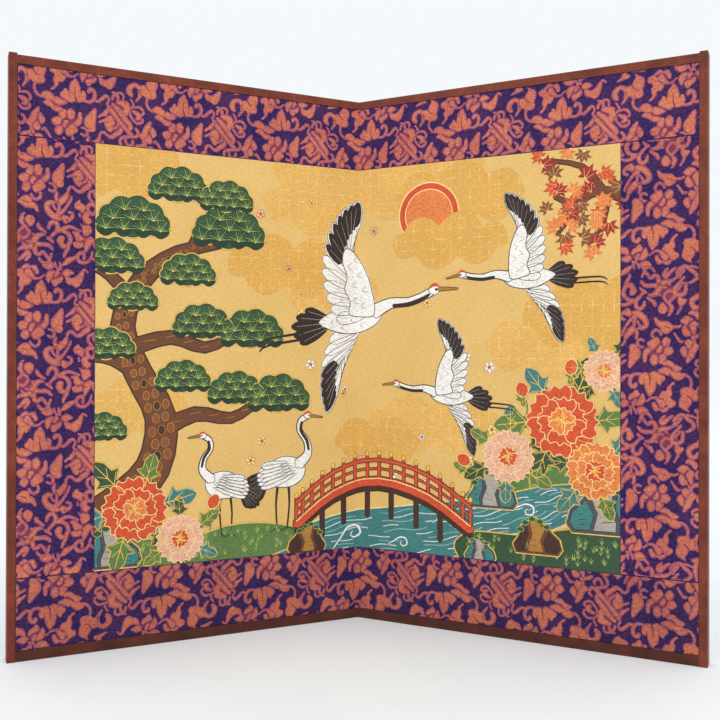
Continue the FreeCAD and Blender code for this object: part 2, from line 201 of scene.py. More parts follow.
def clip(bm, low_u, high_u, low_z, high_z):
    """Cut a flat mesh off at the four sides of a rectangle."""
    sides = (
        ((low_u, 0, 0), (-1, 0, 0)), ((high_u, 0, 0), (1, 0, 0)),
        ((0, 0, low_z), (0, 0, -1)), ((0, 0, high_z), (0, 0, 1)),
    )
    for place, normal in sides:
        cut(bm, place, normal, True)


def grid_places(low, high, step, rounding):
    """Places of grid lines between two edges, with one close inside each edge."""
    count = max(1, round((high - low - 2 * rounding) / step))
    inner = [low + rounding + (high - low - 2 * rounding) * n / count for n in range(count + 1)]
    return [low] + inner + [high]


def slab(bm, low_u, high_u, low_z, high_z, front, back, rounding=EDGE_ROUND, step=GRID_STEP):
    """Closed thin sheet with a rounded front edge, drawn flat."""
    columns = grid_places(low_u, high_u, step, rounding)
    rows = grid_places(low_z, high_z, step, rounding)
    last_column = len(columns) - 1
    last_row = len(rows) - 1
    fronts = []
    backs = []
    for r, z in enumerate(rows):
        front_row = []
        back_row = []
        for c, u in enumerate(columns):
            on_edge = r in (0, last_row) or c in (0, last_column)
            front_row.append(bm.verts.new((u, front + (rounding if on_edge else 0.0), z)))
            back_row.append(bm.verts.new((u, back, z)))
        fronts.append(front_row)
        backs.append(back_row)
    for r in range(last_row):
        for c in range(last_column):
            for level, order in ((fronts, 1), (backs, -1)):
                corners = (level[r][c], level[r][c + 1], level[r + 1][c + 1], level[r + 1][c])
                bm.faces.new(corners[::order])
    for c in range(last_column):
        bm.faces.new((backs[0][c], backs[0][c + 1], fronts[0][c + 1], fronts[0][c]))
        bm.faces.new((fronts[-1][c], fronts[-1][c + 1], backs[-1][c + 1], backs[-1][c]))
    for r in range(last_row):
        bm.faces.new((fronts[r][0], fronts[r + 1][0], backs[r + 1][0], backs[r][0]))
        bm.faces.new((backs[r][-1], backs[r + 1][-1], fronts[r + 1][-1], fronts[r][-1]))
    return bm


# Drawn figures: smooth loops and strokes in millimetres, raised from the cloth
def along_curve(points, closed, cuts):
    """Points along the smooth curve through the given ones."""
    count = len(points)
    made = []
    for number in range(count if closed else count - 1):
        if closed:
            controls = [points[(number + step) % count] for step in (-1, 0, 1, 2)]
        else:
            controls = [points[min(max(number + step, 0), count - 1)] for step in (-1, 0, 1, 2)]
        for part in range(cuts):
            t = part / cuts
            weights = (
                (-t + 2 * t * t - t**3) / 2,
                (2 - 5 * t * t + 3 * t**3) / 2,
                (t + 4 * t * t - 3 * t**3) / 2,
                (t**3 - t * t) / 2,
            )
            made.append(tuple(sum(w * c for w, c in zip(weights, along)) for along in zip(*controls)))
    if not closed:
        made.append(tuple(points[-1]))
    return made


def signed_area(loop):
    """The area of a closed outline, above zero if it runs counterclockwise."""
    return sum(a[0] * b[1] - b[0] * a[1] for a, b in zip(loop, loop[1:] + loop[:1])) / 2


def inset(loop, distance):
    """The loop moved inward, less where the figure is narrow, for a loop that runs counterclockwise."""
    made = []
    count = len(loop)
    for number in range(count):
        before, here, after = loop[number - 1], loop[number], loop[(number + 1) % count]
        du = after[0] - before[0]
        dv = after[1] - before[1]
        length = math.hypot(du, dv) or 1.0
        reach = distance
        if distance > FIGURE_SLOPE:
            others = (loop[(number + step) % count] for step in range(2, count - 1))
            across = min((math.dist(here, other) for other in others), default=WIDEST_NARROW)
            reach = min(distance, NARROW_SHARE * across)
        made.append((here[0] - dv / length * reach, here[1] + du / length * reach))
    return made


def loop_rings(points, cuts, steps):
    """Outlines inside one another of a figure closed through the given points, each so far in."""
    outer = along_curve(points, True, cuts)
    if signed_area(outer) < 0:
        outer.reverse()
    return [inset(outer, step) for step in steps]


def stroke_rings(points, cuts, steps):
    """The same for a stroke through points that each have a width as third number."""
    line = along_curve(points, False, cuts)
    rings = []
    for share, step in zip(STROKE_SHARES, steps):
        left = []
        right = []
        for number, (u, v, width) in enumerate(line):
            before, after = line[max(number - 1, 0)], line[min(number + 1, len(line) - 1)]
            du = after[0] - before[0]
            dv = after[1] - before[1]
            length = math.hypot(du, dv) or 1.0
            half = width / 2 - min(step, width * share)
            left.append((u - dv / length * half, v + du / length * half))
            right.append((u + dv / length * half, v - du / length * half))
            if number in (0, len(line) - 1):
                sign = -1 if number == 0 else 1
                reach = sign * half * TIP_SHARE / length
                tip = (u + du * reach, v + dv * reach)
                (left if number else right).append(tip)
        # the start's tip lies between the last point of the right side and the first of the left
        start_tip = right.pop(1)
        rings.append([start_tip] + right + left[::-1])
    return rings


def moved(points, centre, turn=0.0, size=1.0, mirror=1.0):
    """Points and their widths, mirrored or not, turned by degrees, scaled and set down at a centre."""
    cosine = math.cos(math.radians(turn)) * size
    sine = math.sin(math.radians(turn)) * size
    made = []
    for u, v, *width in points:
        u *= mirror
        place = (centre[0] + u * cosine - v * sine, centre[1] + u * sine + v * cosine)
        made.append((*place, *(across * size for across in width)))
    return made


def join_rings(bm, outer, inner, material, smooth):
    """Faces between two closed rings of as many points."""
    for number in range(len(outer)):
        following = (number + 1) % len(outer)
        face = bm.faces.new((outer[number], outer[following], inner[following], inner[number]))
        face.material_index = material
        face.smooth = smooth


def raise_figure(bm, rings, levels, materials):
    """Add a raised patch from its outlines, their levels and the material inside each but the last."""
    placed = [[bm.verts.new((u, level, z)) for u, z in ring] for ring, level in zip(rings, levels)]
    for outer, inner, material in zip(placed, placed[1:], materials):
        join_rings(bm, outer, inner, material, True)
    top = rings[-1]
    for triangle in tessellate_polygon([[Vector((u, z, 0)) for u, z in top]]):
        corners = [top[index] for index in triangle]
        if abs(signed_area(corners)) < SMALLEST_AREA:
            continue
        order = triangle if signed_area(corners) > 0 else triangle[::-1]
        cap = bm.faces.new([placed[-1][index] for index in order])
        cap.material_index = materials[-1]


# Colours and node materials
def linear(channel):
    """The light of a colour channel that is given as it shows on a screen, 0 to 255."""
    channel /= 255
    return channel / 12.92 if channel <= 0.04045 else ((channel + 0.055) / 1.055) ** 2.4


def colour(red, green, blue, light=1.0):
    """A colour given as it shows on a screen, 0 to 255, at that share of its light."""
    return (linear(red) * light, linear(green) * light, linear(blue) * light, 1.0)


def add(tree, kind, sockets=None, **settings):
    """Add a shader node; sockets take a number, a colour or another node's output."""
    made = tree.nodes.new("ShaderNode" + kind)
    for name, setting in settings.items():
        setattr(made, name, setting)
    for key, given in (sockets or {}).items():
        if isinstance(given, bpy.types.NodeSocket):
            tree.links.new(given, made.inputs[key])
        else:
            made.inputs[key].default_value = given
    return made


def maths(tree, operation, first, second=0.0, third=0.0):
    """The output of a maths node."""
    return add(tree, "Math", {0: first, 1: second, 2: third}, operation=operation).outputs[0]


def mix(tree, share, first, second):
    """The output of a node that mixes two colours."""
    made = add(tree, "Mix", None, data_type="RGBA")
    for index, given in ((0, share), (6, first), (7, second)):
        if isinstance(given, bpy.types.NodeSocket):
            tree.links.new(given, made.inputs[index])
        else:
            made.inputs[index].default_value = given
    return made.outputs[2]


def spread(tree, source, low, high, to_low=0.0, to_high=1.0):
    """Stretch a range of numbers to another, and hold it there."""
    made = add(tree, "MapRange", {0: source, 1: low, 2: high, 3: to_low, 4: to_high}, clamp=True)
    return made.outputs[0]


def noise(tree, vector, scale, detail, roughness=0.55):
    """The output of a noise texture, from 0 to 1."""
    sockets = {"Vector": vector, "Scale": scale, "Detail": detail, "Roughness": roughness}
    return add(tree, "TexNoise", sockets).outputs["Fac"]


def stretch(tree, vector, across, up, through=1.0):
    """A place whose three numbers are each multiplied, so that what is drawn on it stretches."""
    return add(tree, "Mapping", {"Vector": vector, "Scale": (across, up, through)}).outputs[0]


def start_material(name, roughness=0.7, sheen=0.0, sheen_tint=None, specular=0.35):
    """A node material with its constants set on the shader."""
    material = bpy.data.materials.new(name)
    material.use_nodes = True
    tree = material.node_tree
    shader = tree.nodes["Principled BSDF"]
    shader.inputs["Roughness"].default_value = roughness
    shader.inputs["Sheen Weight"].default_value = sheen
    shader.inputs["Sheen Roughness"].default_value = 0.4
    shader.inputs["Specular IOR Level"].default_value = specular
    if sheen_tint:
        shader.inputs["Sheen Tint"].default_value = sheen_tint
    return material, tree, shader


def flat_place(tree):
    """The place on the unfolded cloth, in millimetres, as a vector and its two numbers."""
    uv = add(tree, "UVMap", None, uv_map="flat").outputs[0]
    place = add(tree, "VectorMath", {0: uv, 1: (1000, 1000, 1000)}, operation="MULTIPLY").outputs[0]
    parts = add(tree, "SeparateXYZ", {0: place})
    return place, parts.outputs[0], parts.outputs[1]


def ripple(tree, place, pitch, offset=0.0):
    """A wave of one thread pitch, from 0 to 1."""
    turn = maths(tree, "MULTIPLY_ADD", place, 2 * math.pi / pitch, offset)
    return maths(tree, "MULTIPLY_ADD", maths(tree, "SINE", turn), 0.5, 0.5)


def set_bump(tree, shader, height, strength, distance):
    """Give a shader the bumps of a height, at that strength and of that distance in metres."""
    bump = add(tree, "Bump", {"Height": height, "Strength": strength, "Distance": distance})
    tree.links.new(bump.outputs[0], shader.inputs["Normal"])


# Pitch of the squares of gold leaf that the clouds imitate
LEAF_PITCH = 8.4


def woven(name, tones, share=1.0, warp=0.55, weft=0.5, twill=0.0, mottle=1.0, sheen=0.25,
          roughness=(0.62, 0.8), bump=0.35, speck=None, streak=0.35, leaf=None):
    """Woven cloth of a dark, a middle and a light tone, at a share of their light.

    Its threads go both ways or in a twill, mottled and streaked, with the joints of gold leaf if asked."""
    dark, middle, light = (colour(*tone, share) for tone in tones)
    material, tree, shader = start_material(name, sheen=sheen, sheen_tint=light, specular=0.3)
    place, across, up = flat_place(tree)
    if twill:
        slanted = maths(tree, "MULTIPLY_ADD", up, twill, across)
        threads = ripple(tree, slanted, warp)
        wefts = ripple(tree, up, weft)
        weave = maths(tree, "MULTIPLY_ADD", wefts, 0.35, maths(tree, "MULTIPLY", threads, 0.65))
    else:
        over = maths(tree, "SINE", maths(tree, "MULTIPLY", across, 2 * math.pi / warp))
        under = maths(tree, "SINE", maths(tree, "MULTIPLY", up, 2 * math.pi / weft))
        weave = maths(tree, "MULTIPLY_ADD", maths(tree, "MULTIPLY", over, under), 0.5, 0.5)
    streaks = noise(tree, stretch(tree, place, 0.22, 2.6), 1.0, 2.0)
    blotches = noise(tree, place, 0.55, 4.0, 0.6)
    wide = noise(tree, place, 0.03, 2.0)
    tone = maths(tree, "MULTIPLY_ADD", spread(tree, weave, 0.0, 1.0, -0.5, 0.5), 0.34, 0.5)
    tone = maths(tree, "ADD", tone, spread(tree, streaks, 0.3, 0.7, -streak, streak))
    tone = maths(tree, "ADD", tone, spread(tree, blotches, 0.3, 0.7, -0.32 * mottle, 0.32 * mottle))
    tone = maths(tree, "ADD", tone, spread(tree, wide, 0.35, 0.65, -0.11 * mottle, 0.11 * mottle))
    shade = mix(tree, spread(tree, tone, 0.0, 0.5), dark, middle)
    shade = mix(tree, spread(tree, tone, 0.5, 1.0), shade, light)
    if speck:
        specks = noise(tree, stretch(tree, place, 0.8, 1.7), 1.3, 2.0)
        shade = mix(tree, spread(tree, specks, 0.58, 0.72, 0.0, 0.55), shade, colour(*speck, share))
    if leaf:
        joints = maths(tree, "MAXIMUM", ripple(tree, across, LEAF_PITCH), ripple(tree, up, LEAF_PITCH, 1.0))
        worn = spread(tree, noise(tree, place, 0.16, 3.0), 0.46, 0.6, 0.0, 0.6)
        seen = maths(tree, "MULTIPLY", spread(tree, joints, 0.98, 0.998), worn)
        shade = mix(tree, seen, shade, colour(*leaf))
    tree.links.new(shade, shader.inputs["Base Color"])
    tree.links.new(spread(tree, tone, 0.0, 1.0, roughness[1], roughness[0]), shader.inputs["Roughness"])
    height = maths(tree, "MULTIPLY_ADD", streaks, 0.5, weave)
    set_bump(tree, shader, height, bump, 0.00012)
    return material


def object_place(tree):
    """The place on an object, in metres, for a material that has no flat UV map."""
    return add(tree, "TexCoord").outputs["Object"]


def plain_wood(name, dark, light, grain=(1.0, 1.0, 0.06)):
    """Planed wood with its grain along one direction of the object."""
    material, tree, shader = start_material(name)
    place = object_place(tree)
    drawn = stretch(tree, place, *grain)
    wave = {"Vector": drawn, "Scale": 160.0, "Distortion": 9.0, "Detail": 3.0, "Detail Scale": 1.4}
    rings = add(tree, "TexWave", wave)
    fibres = noise(tree, drawn, 900.0, 3.0)
    tone = maths(tree, "MULTIPLY_ADD", rings.outputs["Fac"], 0.55, maths(tree, "MULTIPLY", fibres, 0.45))
    tree.links.new(mix(tree, spread(tree, tone, 0.2, 0.8), dark, light), shader.inputs["Base Color"])
    tree.links.new(spread(tree, fibres, 0.3, 0.7, 0.55, 0.75), shader.inputs["Roughness"])
    set_bump(tree, shader, tone, 0.25, 0.00015)
    return material


def frame_lacquer(name, dark, light):
    """Red-brown satin lacquer over fine-grained wood, thin on the edges and slightly blotched."""
    material, tree, shader = start_material(name, specular=0.25)
    place = object_place(tree)
    blotch = noise(tree, place, 55.0, 5.0, 0.6)
    fine = noise(tree, place, 420.0, 3.0, 0.6)
    pores = noise(tree, stretch(tree, place, 1.0, 1.0, 0.12), 2400.0, 2.0)
    brown = mix(tree, spread(tree, blotch, 0.32, 0.68), dark, light)
    brown = mix(tree, spread(tree, fine, 0.42, 0.72, 0.0, 0.5), brown, colour(74, 40, 22))
    brown = mix(tree, spread(tree, pores, 0.55, 0.75, 0.0, 0.45), brown, colour(52, 24, 18))
    bevel = add(tree, "Bevel", {"Radius": 0.0009}, samples=6).outputs[0]
    flat = add(tree, "NewGeometry").outputs["Normal"]
    sharp = add(tree, "VectorMath", {0: bevel, 1: flat}, operation="DOT_PRODUCT").outputs["Value"]
    worn = spread(tree, sharp, 0.995, 0.86, 0.0, 0.5)
    worn = maths(tree, "MULTIPLY", worn, spread(tree, noise(tree, place, 160.0, 4.0), 0.42, 0.6))
    brown = mix(tree, worn, brown, colour(146, 84, 56))
    tree.links.new(brown, shader.inputs["Base Color"])
    tree.links.new(spread(tree, fine, 0.3, 0.7, 0.38, 0.56), shader.inputs["Roughness"])
    height = maths(tree, "MULTIPLY_ADD", pores, 0.6, maths(tree, "MULTIPLY", blotch, 0.6))
    set_bump(tree, shader, height, 0.22, 0.0002)
    return material


def drawn_steel():
    """Drawn wire with fine lines and a little rust."""
    material, tree, shader = start_material("pin_steel", specular=0.5)
    shader.inputs["Metallic"].default_value = 1.0
    place = object_place(tree)
    lines = noise(tree, stretch(tree, place, 30.0, 900.0, 900.0), 1.0, 3.0)
    rust = spread(tree, noise(tree, place, 420.0, 4.0), 0.5, 0.62, 0.0, 0.6)
    steel = mix(tree, lines, colour(120, 119, 118), colour(168, 167, 166))
    tree.links.new(mix(tree, rust, steel, colour(96, 66, 48)), shader.inputs["Base Color"])
    tree.links.new(spread(tree, lines, 0.2, 0.8, 0.32, 0.55), shader.inputs["Roughness"])
    set_bump(tree, shader, lines, 0.2, 0.00005)
    return material


def layered_paper():
    """Handmade paper with long fibres and a slightly cloudy tone."""
    material, tree, shader = start_material("base_paper", sheen=0.1, sheen_tint=colour(250, 246, 236))
    place = object_place(tree)
    clouds = noise(tree, place, 28.0, 4.0)
    fibres = noise(tree, stretch(tree, place, 1.0, 6.0, 1.0), 240.0, 5.0, 0.7)
    paper = mix(tree, spread(tree, clouds, 0.3, 0.7), colour(232, 226, 206), colour(244, 240, 228))
    paper = mix(tree, spread(tree, fibres, 0.56, 0.66, 0.0, 0.5), paper, colour(205, 190, 158))
    tree.links.new(paper, shader.inputs["Base Color"])
    tree.links.new(spread(tree, fibres, 0.3, 0.7, 0.8, 0.92), shader.inputs["Roughness"])
    set_bump(tree, shader, fibres, 0.3, 0.00015)
    return material


# The brocade's repeat: a peony scroll, drawn round the six-petal flower
REPEAT_ACROSS = 84.05
REPEAT_UP = 110.8
# The places of its tones in the figures' list of materials
ORANGE, EDGE_TONE, SEAM_TONE = range(3)
LEAVES = [
    # six-petal flower
    [(-0.9, 8), (2.4, 10.4), (5, 7), (3.6, 2.4), (0.2, 2.6)],
    [(8.2, 8.2), (9.8, 7.4), (10.3, 1.4), (7.4, -2.9), (4.1, -0.6), (7.1, 2.8), (7.3, 5.4)],
    [(3.2, -1.1), (7, -4.8), (6.8, -7.2), (1.2, -10.9), (-0.8, -10.2), (-1.7, -8), (-1.4, -6.2)],
    [(-9.5, -8.4), (-8, -10.2), (-6, -10.9), (-3.4, -8), (-4.6, -4), (-8, -4.6)],
    [(-8, 2.8), (-10.5, 1.6), (-11.8, -0.8), (-9.2, -4), (-5.4, -2.6), (-5.2, -0.6), (-4.3, 0.7), (-5, 2)],
    [(-6.9, 4.2), (-4.8, 8), (-2.9, 9.2), (-1.8, 8.4), (-1.5, 3.6), (-4, 1.5)],
    [(-2.8, 0.4), (-1, 1.2), (0.4, 0.4), (0.3, -1.4), (-1, -3), (-1.7, -4.9), (-3.2, -4.5), (-4, -3)],
    # heart-shaped leaf
    [(19.4, 12.9), (15.6, 8.2), (12.1, 3.4), (12.6, -1.6), (14.4, -3.2), (15.6, -5), (17.8, -5.7),
     (19.8, -4.8), (20.5, -2.8), (19.9, -0.4), (20.5, 2), (20.8, 8), (20.9, 11)],
    # peony: left finger and heart
    [(22.3, 6.7), (23.9, 9), (25.8, 10.2), (26.9, 12.2), (30.4, 14.8), (31.4, 13.2), (29.6, 11.8),
     (29.2, 9.8), (27.8, 8.3), (25.6, 7.9), (24, 6.6)],
    [(27.2, 5.8), (31, 8.8), (33.2, 7.8), (34.7, 5), (34.8, 2.4), (33.7, 0.8), (33.6, -1.4), (32.6, -3.5),
     (30.8, -3.8), (27.8, 0)],
    # three-lobed leaf
    [(5, 34), (7.9, 29), (8.9, 24.2), (10.2, 25), (11.7, 24.7), (12.9, 22.4), (12, 17.4), (7.6, 16),
     (5.6, 16.8), (3.6, 15.5), (1, 15.1), (-4, 17.3), (-6.1, 19.4), (-5.8, 21.4), (-4, 23), (-3, 25),
     (-1.8, 25.1), (-0.9, 23.9), (0.1, 24.4), (1.1, 29.8), (3.2, 32.1)],
    # pair of leaves left of it
    [(-19.8, 17.2), (-18.7, 20), (-16, 21.1), (-13.2, 20.6), (-9.7, 17.7), (-8, 17.9), (-0.7, 14.4),
     (-5.4, 11.8), (-8, 12), (-12.2, 14.2), (-15, 14.5)],
    [(-17.8, 11.8), (-16.8, 13.7), (-14.2, 14.7), (-11.8, 13.6), (-10, 11.5), (-5, 10), (-4.1, 8.6),
     (-5.8, 7.1), (-8.6, 6.6), (-10.9, 7.6), (-12.7, 9.4)],
    # upper left leaf
    [(-23.8, 44.6), (-18, 41.9), (-16.5, 39.4), (-16.8, 35.6), (-18, 32.6), (-17.3, 30.2), (-17.6, 27.9),
     (-19.6, 26.4), (-25, 26.4), (-26.6, 28), (-28.4, 28.1), (-31.4, 26.4), (-30.8, 33.8), (-29.4, 35.9),
     (-25.8, 36.6), (-24.7, 39.2), (-23.2, 41.2), (-22.8, 43)],
    # upper middle leaf, and the round flower above it
    [(-10.4, 42), (-8.5, 41.4), (-4.8, 35.5), (-3, 35), (-2.3, 33.3), (-4.6, 29.8), (-6.6, 29.9),
     (-7.7, 28.4), (-8.3, 26.2), (-11.4, 23), (-13, 22.8), (-12.4, 24.3), (-10.9, 25.4), (-10.4, 27.4),
     (-11.2, 29.8), (-11.1, 32), (-10.3, 34.2), (-11.3, 36), (-13.3, 36.6), (-14.2, 38.4), (-13.5, 40.2)],
    [(-7, 38.8), (-6.4, 41), (-4.6, 42.4), (-2.7, 41.4), (0.4, 35.6), (-0.4, 34.2), (-2, 34.9),
     (-5.8, 37.2)],
    [(-9.2, 42.9), (-5.8, 45.7), (-2.3, 43.4), (-2.7, 42.7), (-4.6, 43.2), (-7.8, 41.7)],
    [(-2.7, 43.7), (0.8, 44.8), (2.9, 40.2), (2.1, 38.4), (0.7, 38.4), (-0.1, 40.2)],
    # five-petal flower at the upper right
    [(8.1, 36), (8.5, 38.6), (10.4, 40.8), (14.8, 41), (11, 33.3), (9.6, 32.2)],
    [(14.1, 36.8), (14.9, 39.2), (16.7, 41), (18, 39.9), (15.7, 36.6)],
    [(12.2, 32.4), (12.8, 34.3), (16.2, 35.7), (19.9, 37.2), (20.2, 35), (19.1, 32.9), (17.2, 31.9),
     (15.8, 30.2), (14, 29.6)],
    [(19.8, 40), (23.6, 43), (28.4, 40.3), (26.4, 38.9), (22.6, 37)],
    [(5.4, 45), (7.6, 47.8), (10.6, 48), (13.8, 43.8), (9.4, 42)],
    # hooked leaf at the far right
    [(22.1, 36.3), (23.6, 37.1), (27.4, 36.1), (31.4, 38.7), (34.8, 43.2), (36.8, 43.3), (35.7, 41.2),
     (35.5, 38), (33.7, 32.4), (31.6, 30), (29.6, 29.4), (27.7, 30.7), (23.6, 32.1)],
    # tulip bud left of the flower
    [(-22, 8.3), (-20.7, 6.8), (-22.8, -1), (-25.9, -5.9), (-27.6, -6.4), (-29.8, -5), (-30, -3),
     (-28.1, -1.4), (-26.3, 3.6), (-24.5, 5.7)],
    [(-20.1, 4.2), (-16.8, 0.2), (-16.8, -2.1), (-18.4, -4), (-20.1, -3.7), (-21.7, 0.4)],
    [(-22.3, -2.2), (-19.8, -6.4), (-20.7, -8.8), (-22.8, -9.4), (-26, -6.9)],
    # round petals under the bud
    [(-23.5, -12.6), (-20.6, -11.5), (-18.5, -12.9), (-17.5, -15.4), (-17.7, -17.9), (-19, -19.8),
     (-20.7, -18.8), (-21.8, -16.4), (-23.3, -14.7)],
    [(-26.8, -12.6), (-24.8, -14.2), (-22.7, -19), (-23.7, -21.8), (-25.8, -23), (-27.5, -22.2),
     (-28.3, -20.4), (-27.3, -18.6), (-27.5, -15.8)],
    [(-20.5, -20.2), (-16.6, -22.3), (-17.3, -24.7), (-21.2, -26.8), (-25.2, -24), (-22.4, -22.2)],
    [(-28.5, -23.8), (-25.8, -27), (-21.8, -28.5), (-24.6, -31.4), (-29.2, -29.3), (-30.6, -27),
     (-30.2, -24.9)],
    # pointed leaf below the flower
    [(-9.5, -15.3), (-7, -13.8), (-4.5, -14), (-2.9, -15.5), (-2.3, -17.7), (0.9, -20.3), (2.6, -25.2),
     (1.2, -25.5), (-0.4, -23.8), (-2.4, -23), (-7.5, -22.6), (-10.7, -19.8), (-12.8, -19.4)],
    # flame leaf and blob of the curled flower
    [(22.7, -9.2), (24.1, -11.4), (23.5, -14), (19.8, -18.6), (17.5, -18.9), (15.4, -17), (15.5, -15),
     (17.4, -14.2), (20.9, -11)],
    [(20.3, -26.7), (25, -28.5), (23.4, -32.2), (21.4, -32.4), (18.6, -28.8)],
    # petals to its right
    [(28.4, -18), (31, -15), (32.5, -14.8), (33, -16.4), (35, -17.4), (36.3, -19.4), (35.2, -24.2),
     (31.8, -22), (29.5, -21)],
    [(36.6, -23.5), (38.6, -23.3), (40, -25.2), (38.9, -27), (41.5, -29.4), (40.3, -31.8), (38, -32.4),
     (35.9, -30.7), (34.6, -28), (34.7, -25.4)],
    [(32.6, -32), (34.6, -33.8), (39.2, -33.3), (41.1, -35.4), (41.4, -38), (39.7, -40.3), (37, -41.8),
     (35.1, -40.3), (34.2, -35.2)],
    [(27, -39.1), (31.5, -38.8), (33.1, -41.3), (35.5, -43), (36, -44.6), (31.4, -46.2), (29.5, -44.5),
     (28.7, -41.8)],
    [(28.2, -47), (30.4, -46.5), (32.4, -47.1), (34.5, -46.4), (35.4, -48.2), (34.3, -50.4), (31.4, -51.2),
     (28.9, -50.6), (27.8, -48.6)],
    [(40.6, -41.8), (44.6, -45), (42.5, -46), (39.9, -50.2), (36.6, -54.8), (36.2, -52), (35.3, -49.6),
     (36.7, -47), (36.2, -45)],
    # heart of the big spiral, and the leaf under it
    [(17.5, -43.3), (19.4, -42.6), (21.2, -43.9), (20.6, -48), (22.4, -49.3), (23, -51), (21, -52.2),
     (18.5, -51.2), (15.8, -46.4)],
    [(19.2, -65.8), (22.6, -59.9), (28, -57.8), (29.9, -58.6), (28.3, -60.7), (23.4, -64.4), (21, -65)],
    # ray-like peony: the two petals at its top, and its bud
    [(-9, -29), (-11.6, -33), (-8.2, -37.2), (-7, -36.4), (-8.4, -32.2), (-7.7, -30.3)],
    [(-5.6, -29.2), (-2.8, -28.6), (-0.7, -30.3), (-0.2, -33), (-3.2, -37.2), (-7.1, -32.4)],
    [(-17.4, -34.4), (-15.3, -35.1), (-14.2, -37.4), (-14.2, -40), (-15.4, -42.2), (-17.7, -39.5),
     (-19.5, -39.5), (-20.4, -38)],
    # leaf tip at the far upper right
    [(46.6, 40), (54, 41.9), (56.6, 43), (55.6, 45), (52.4, 44.6)],
]
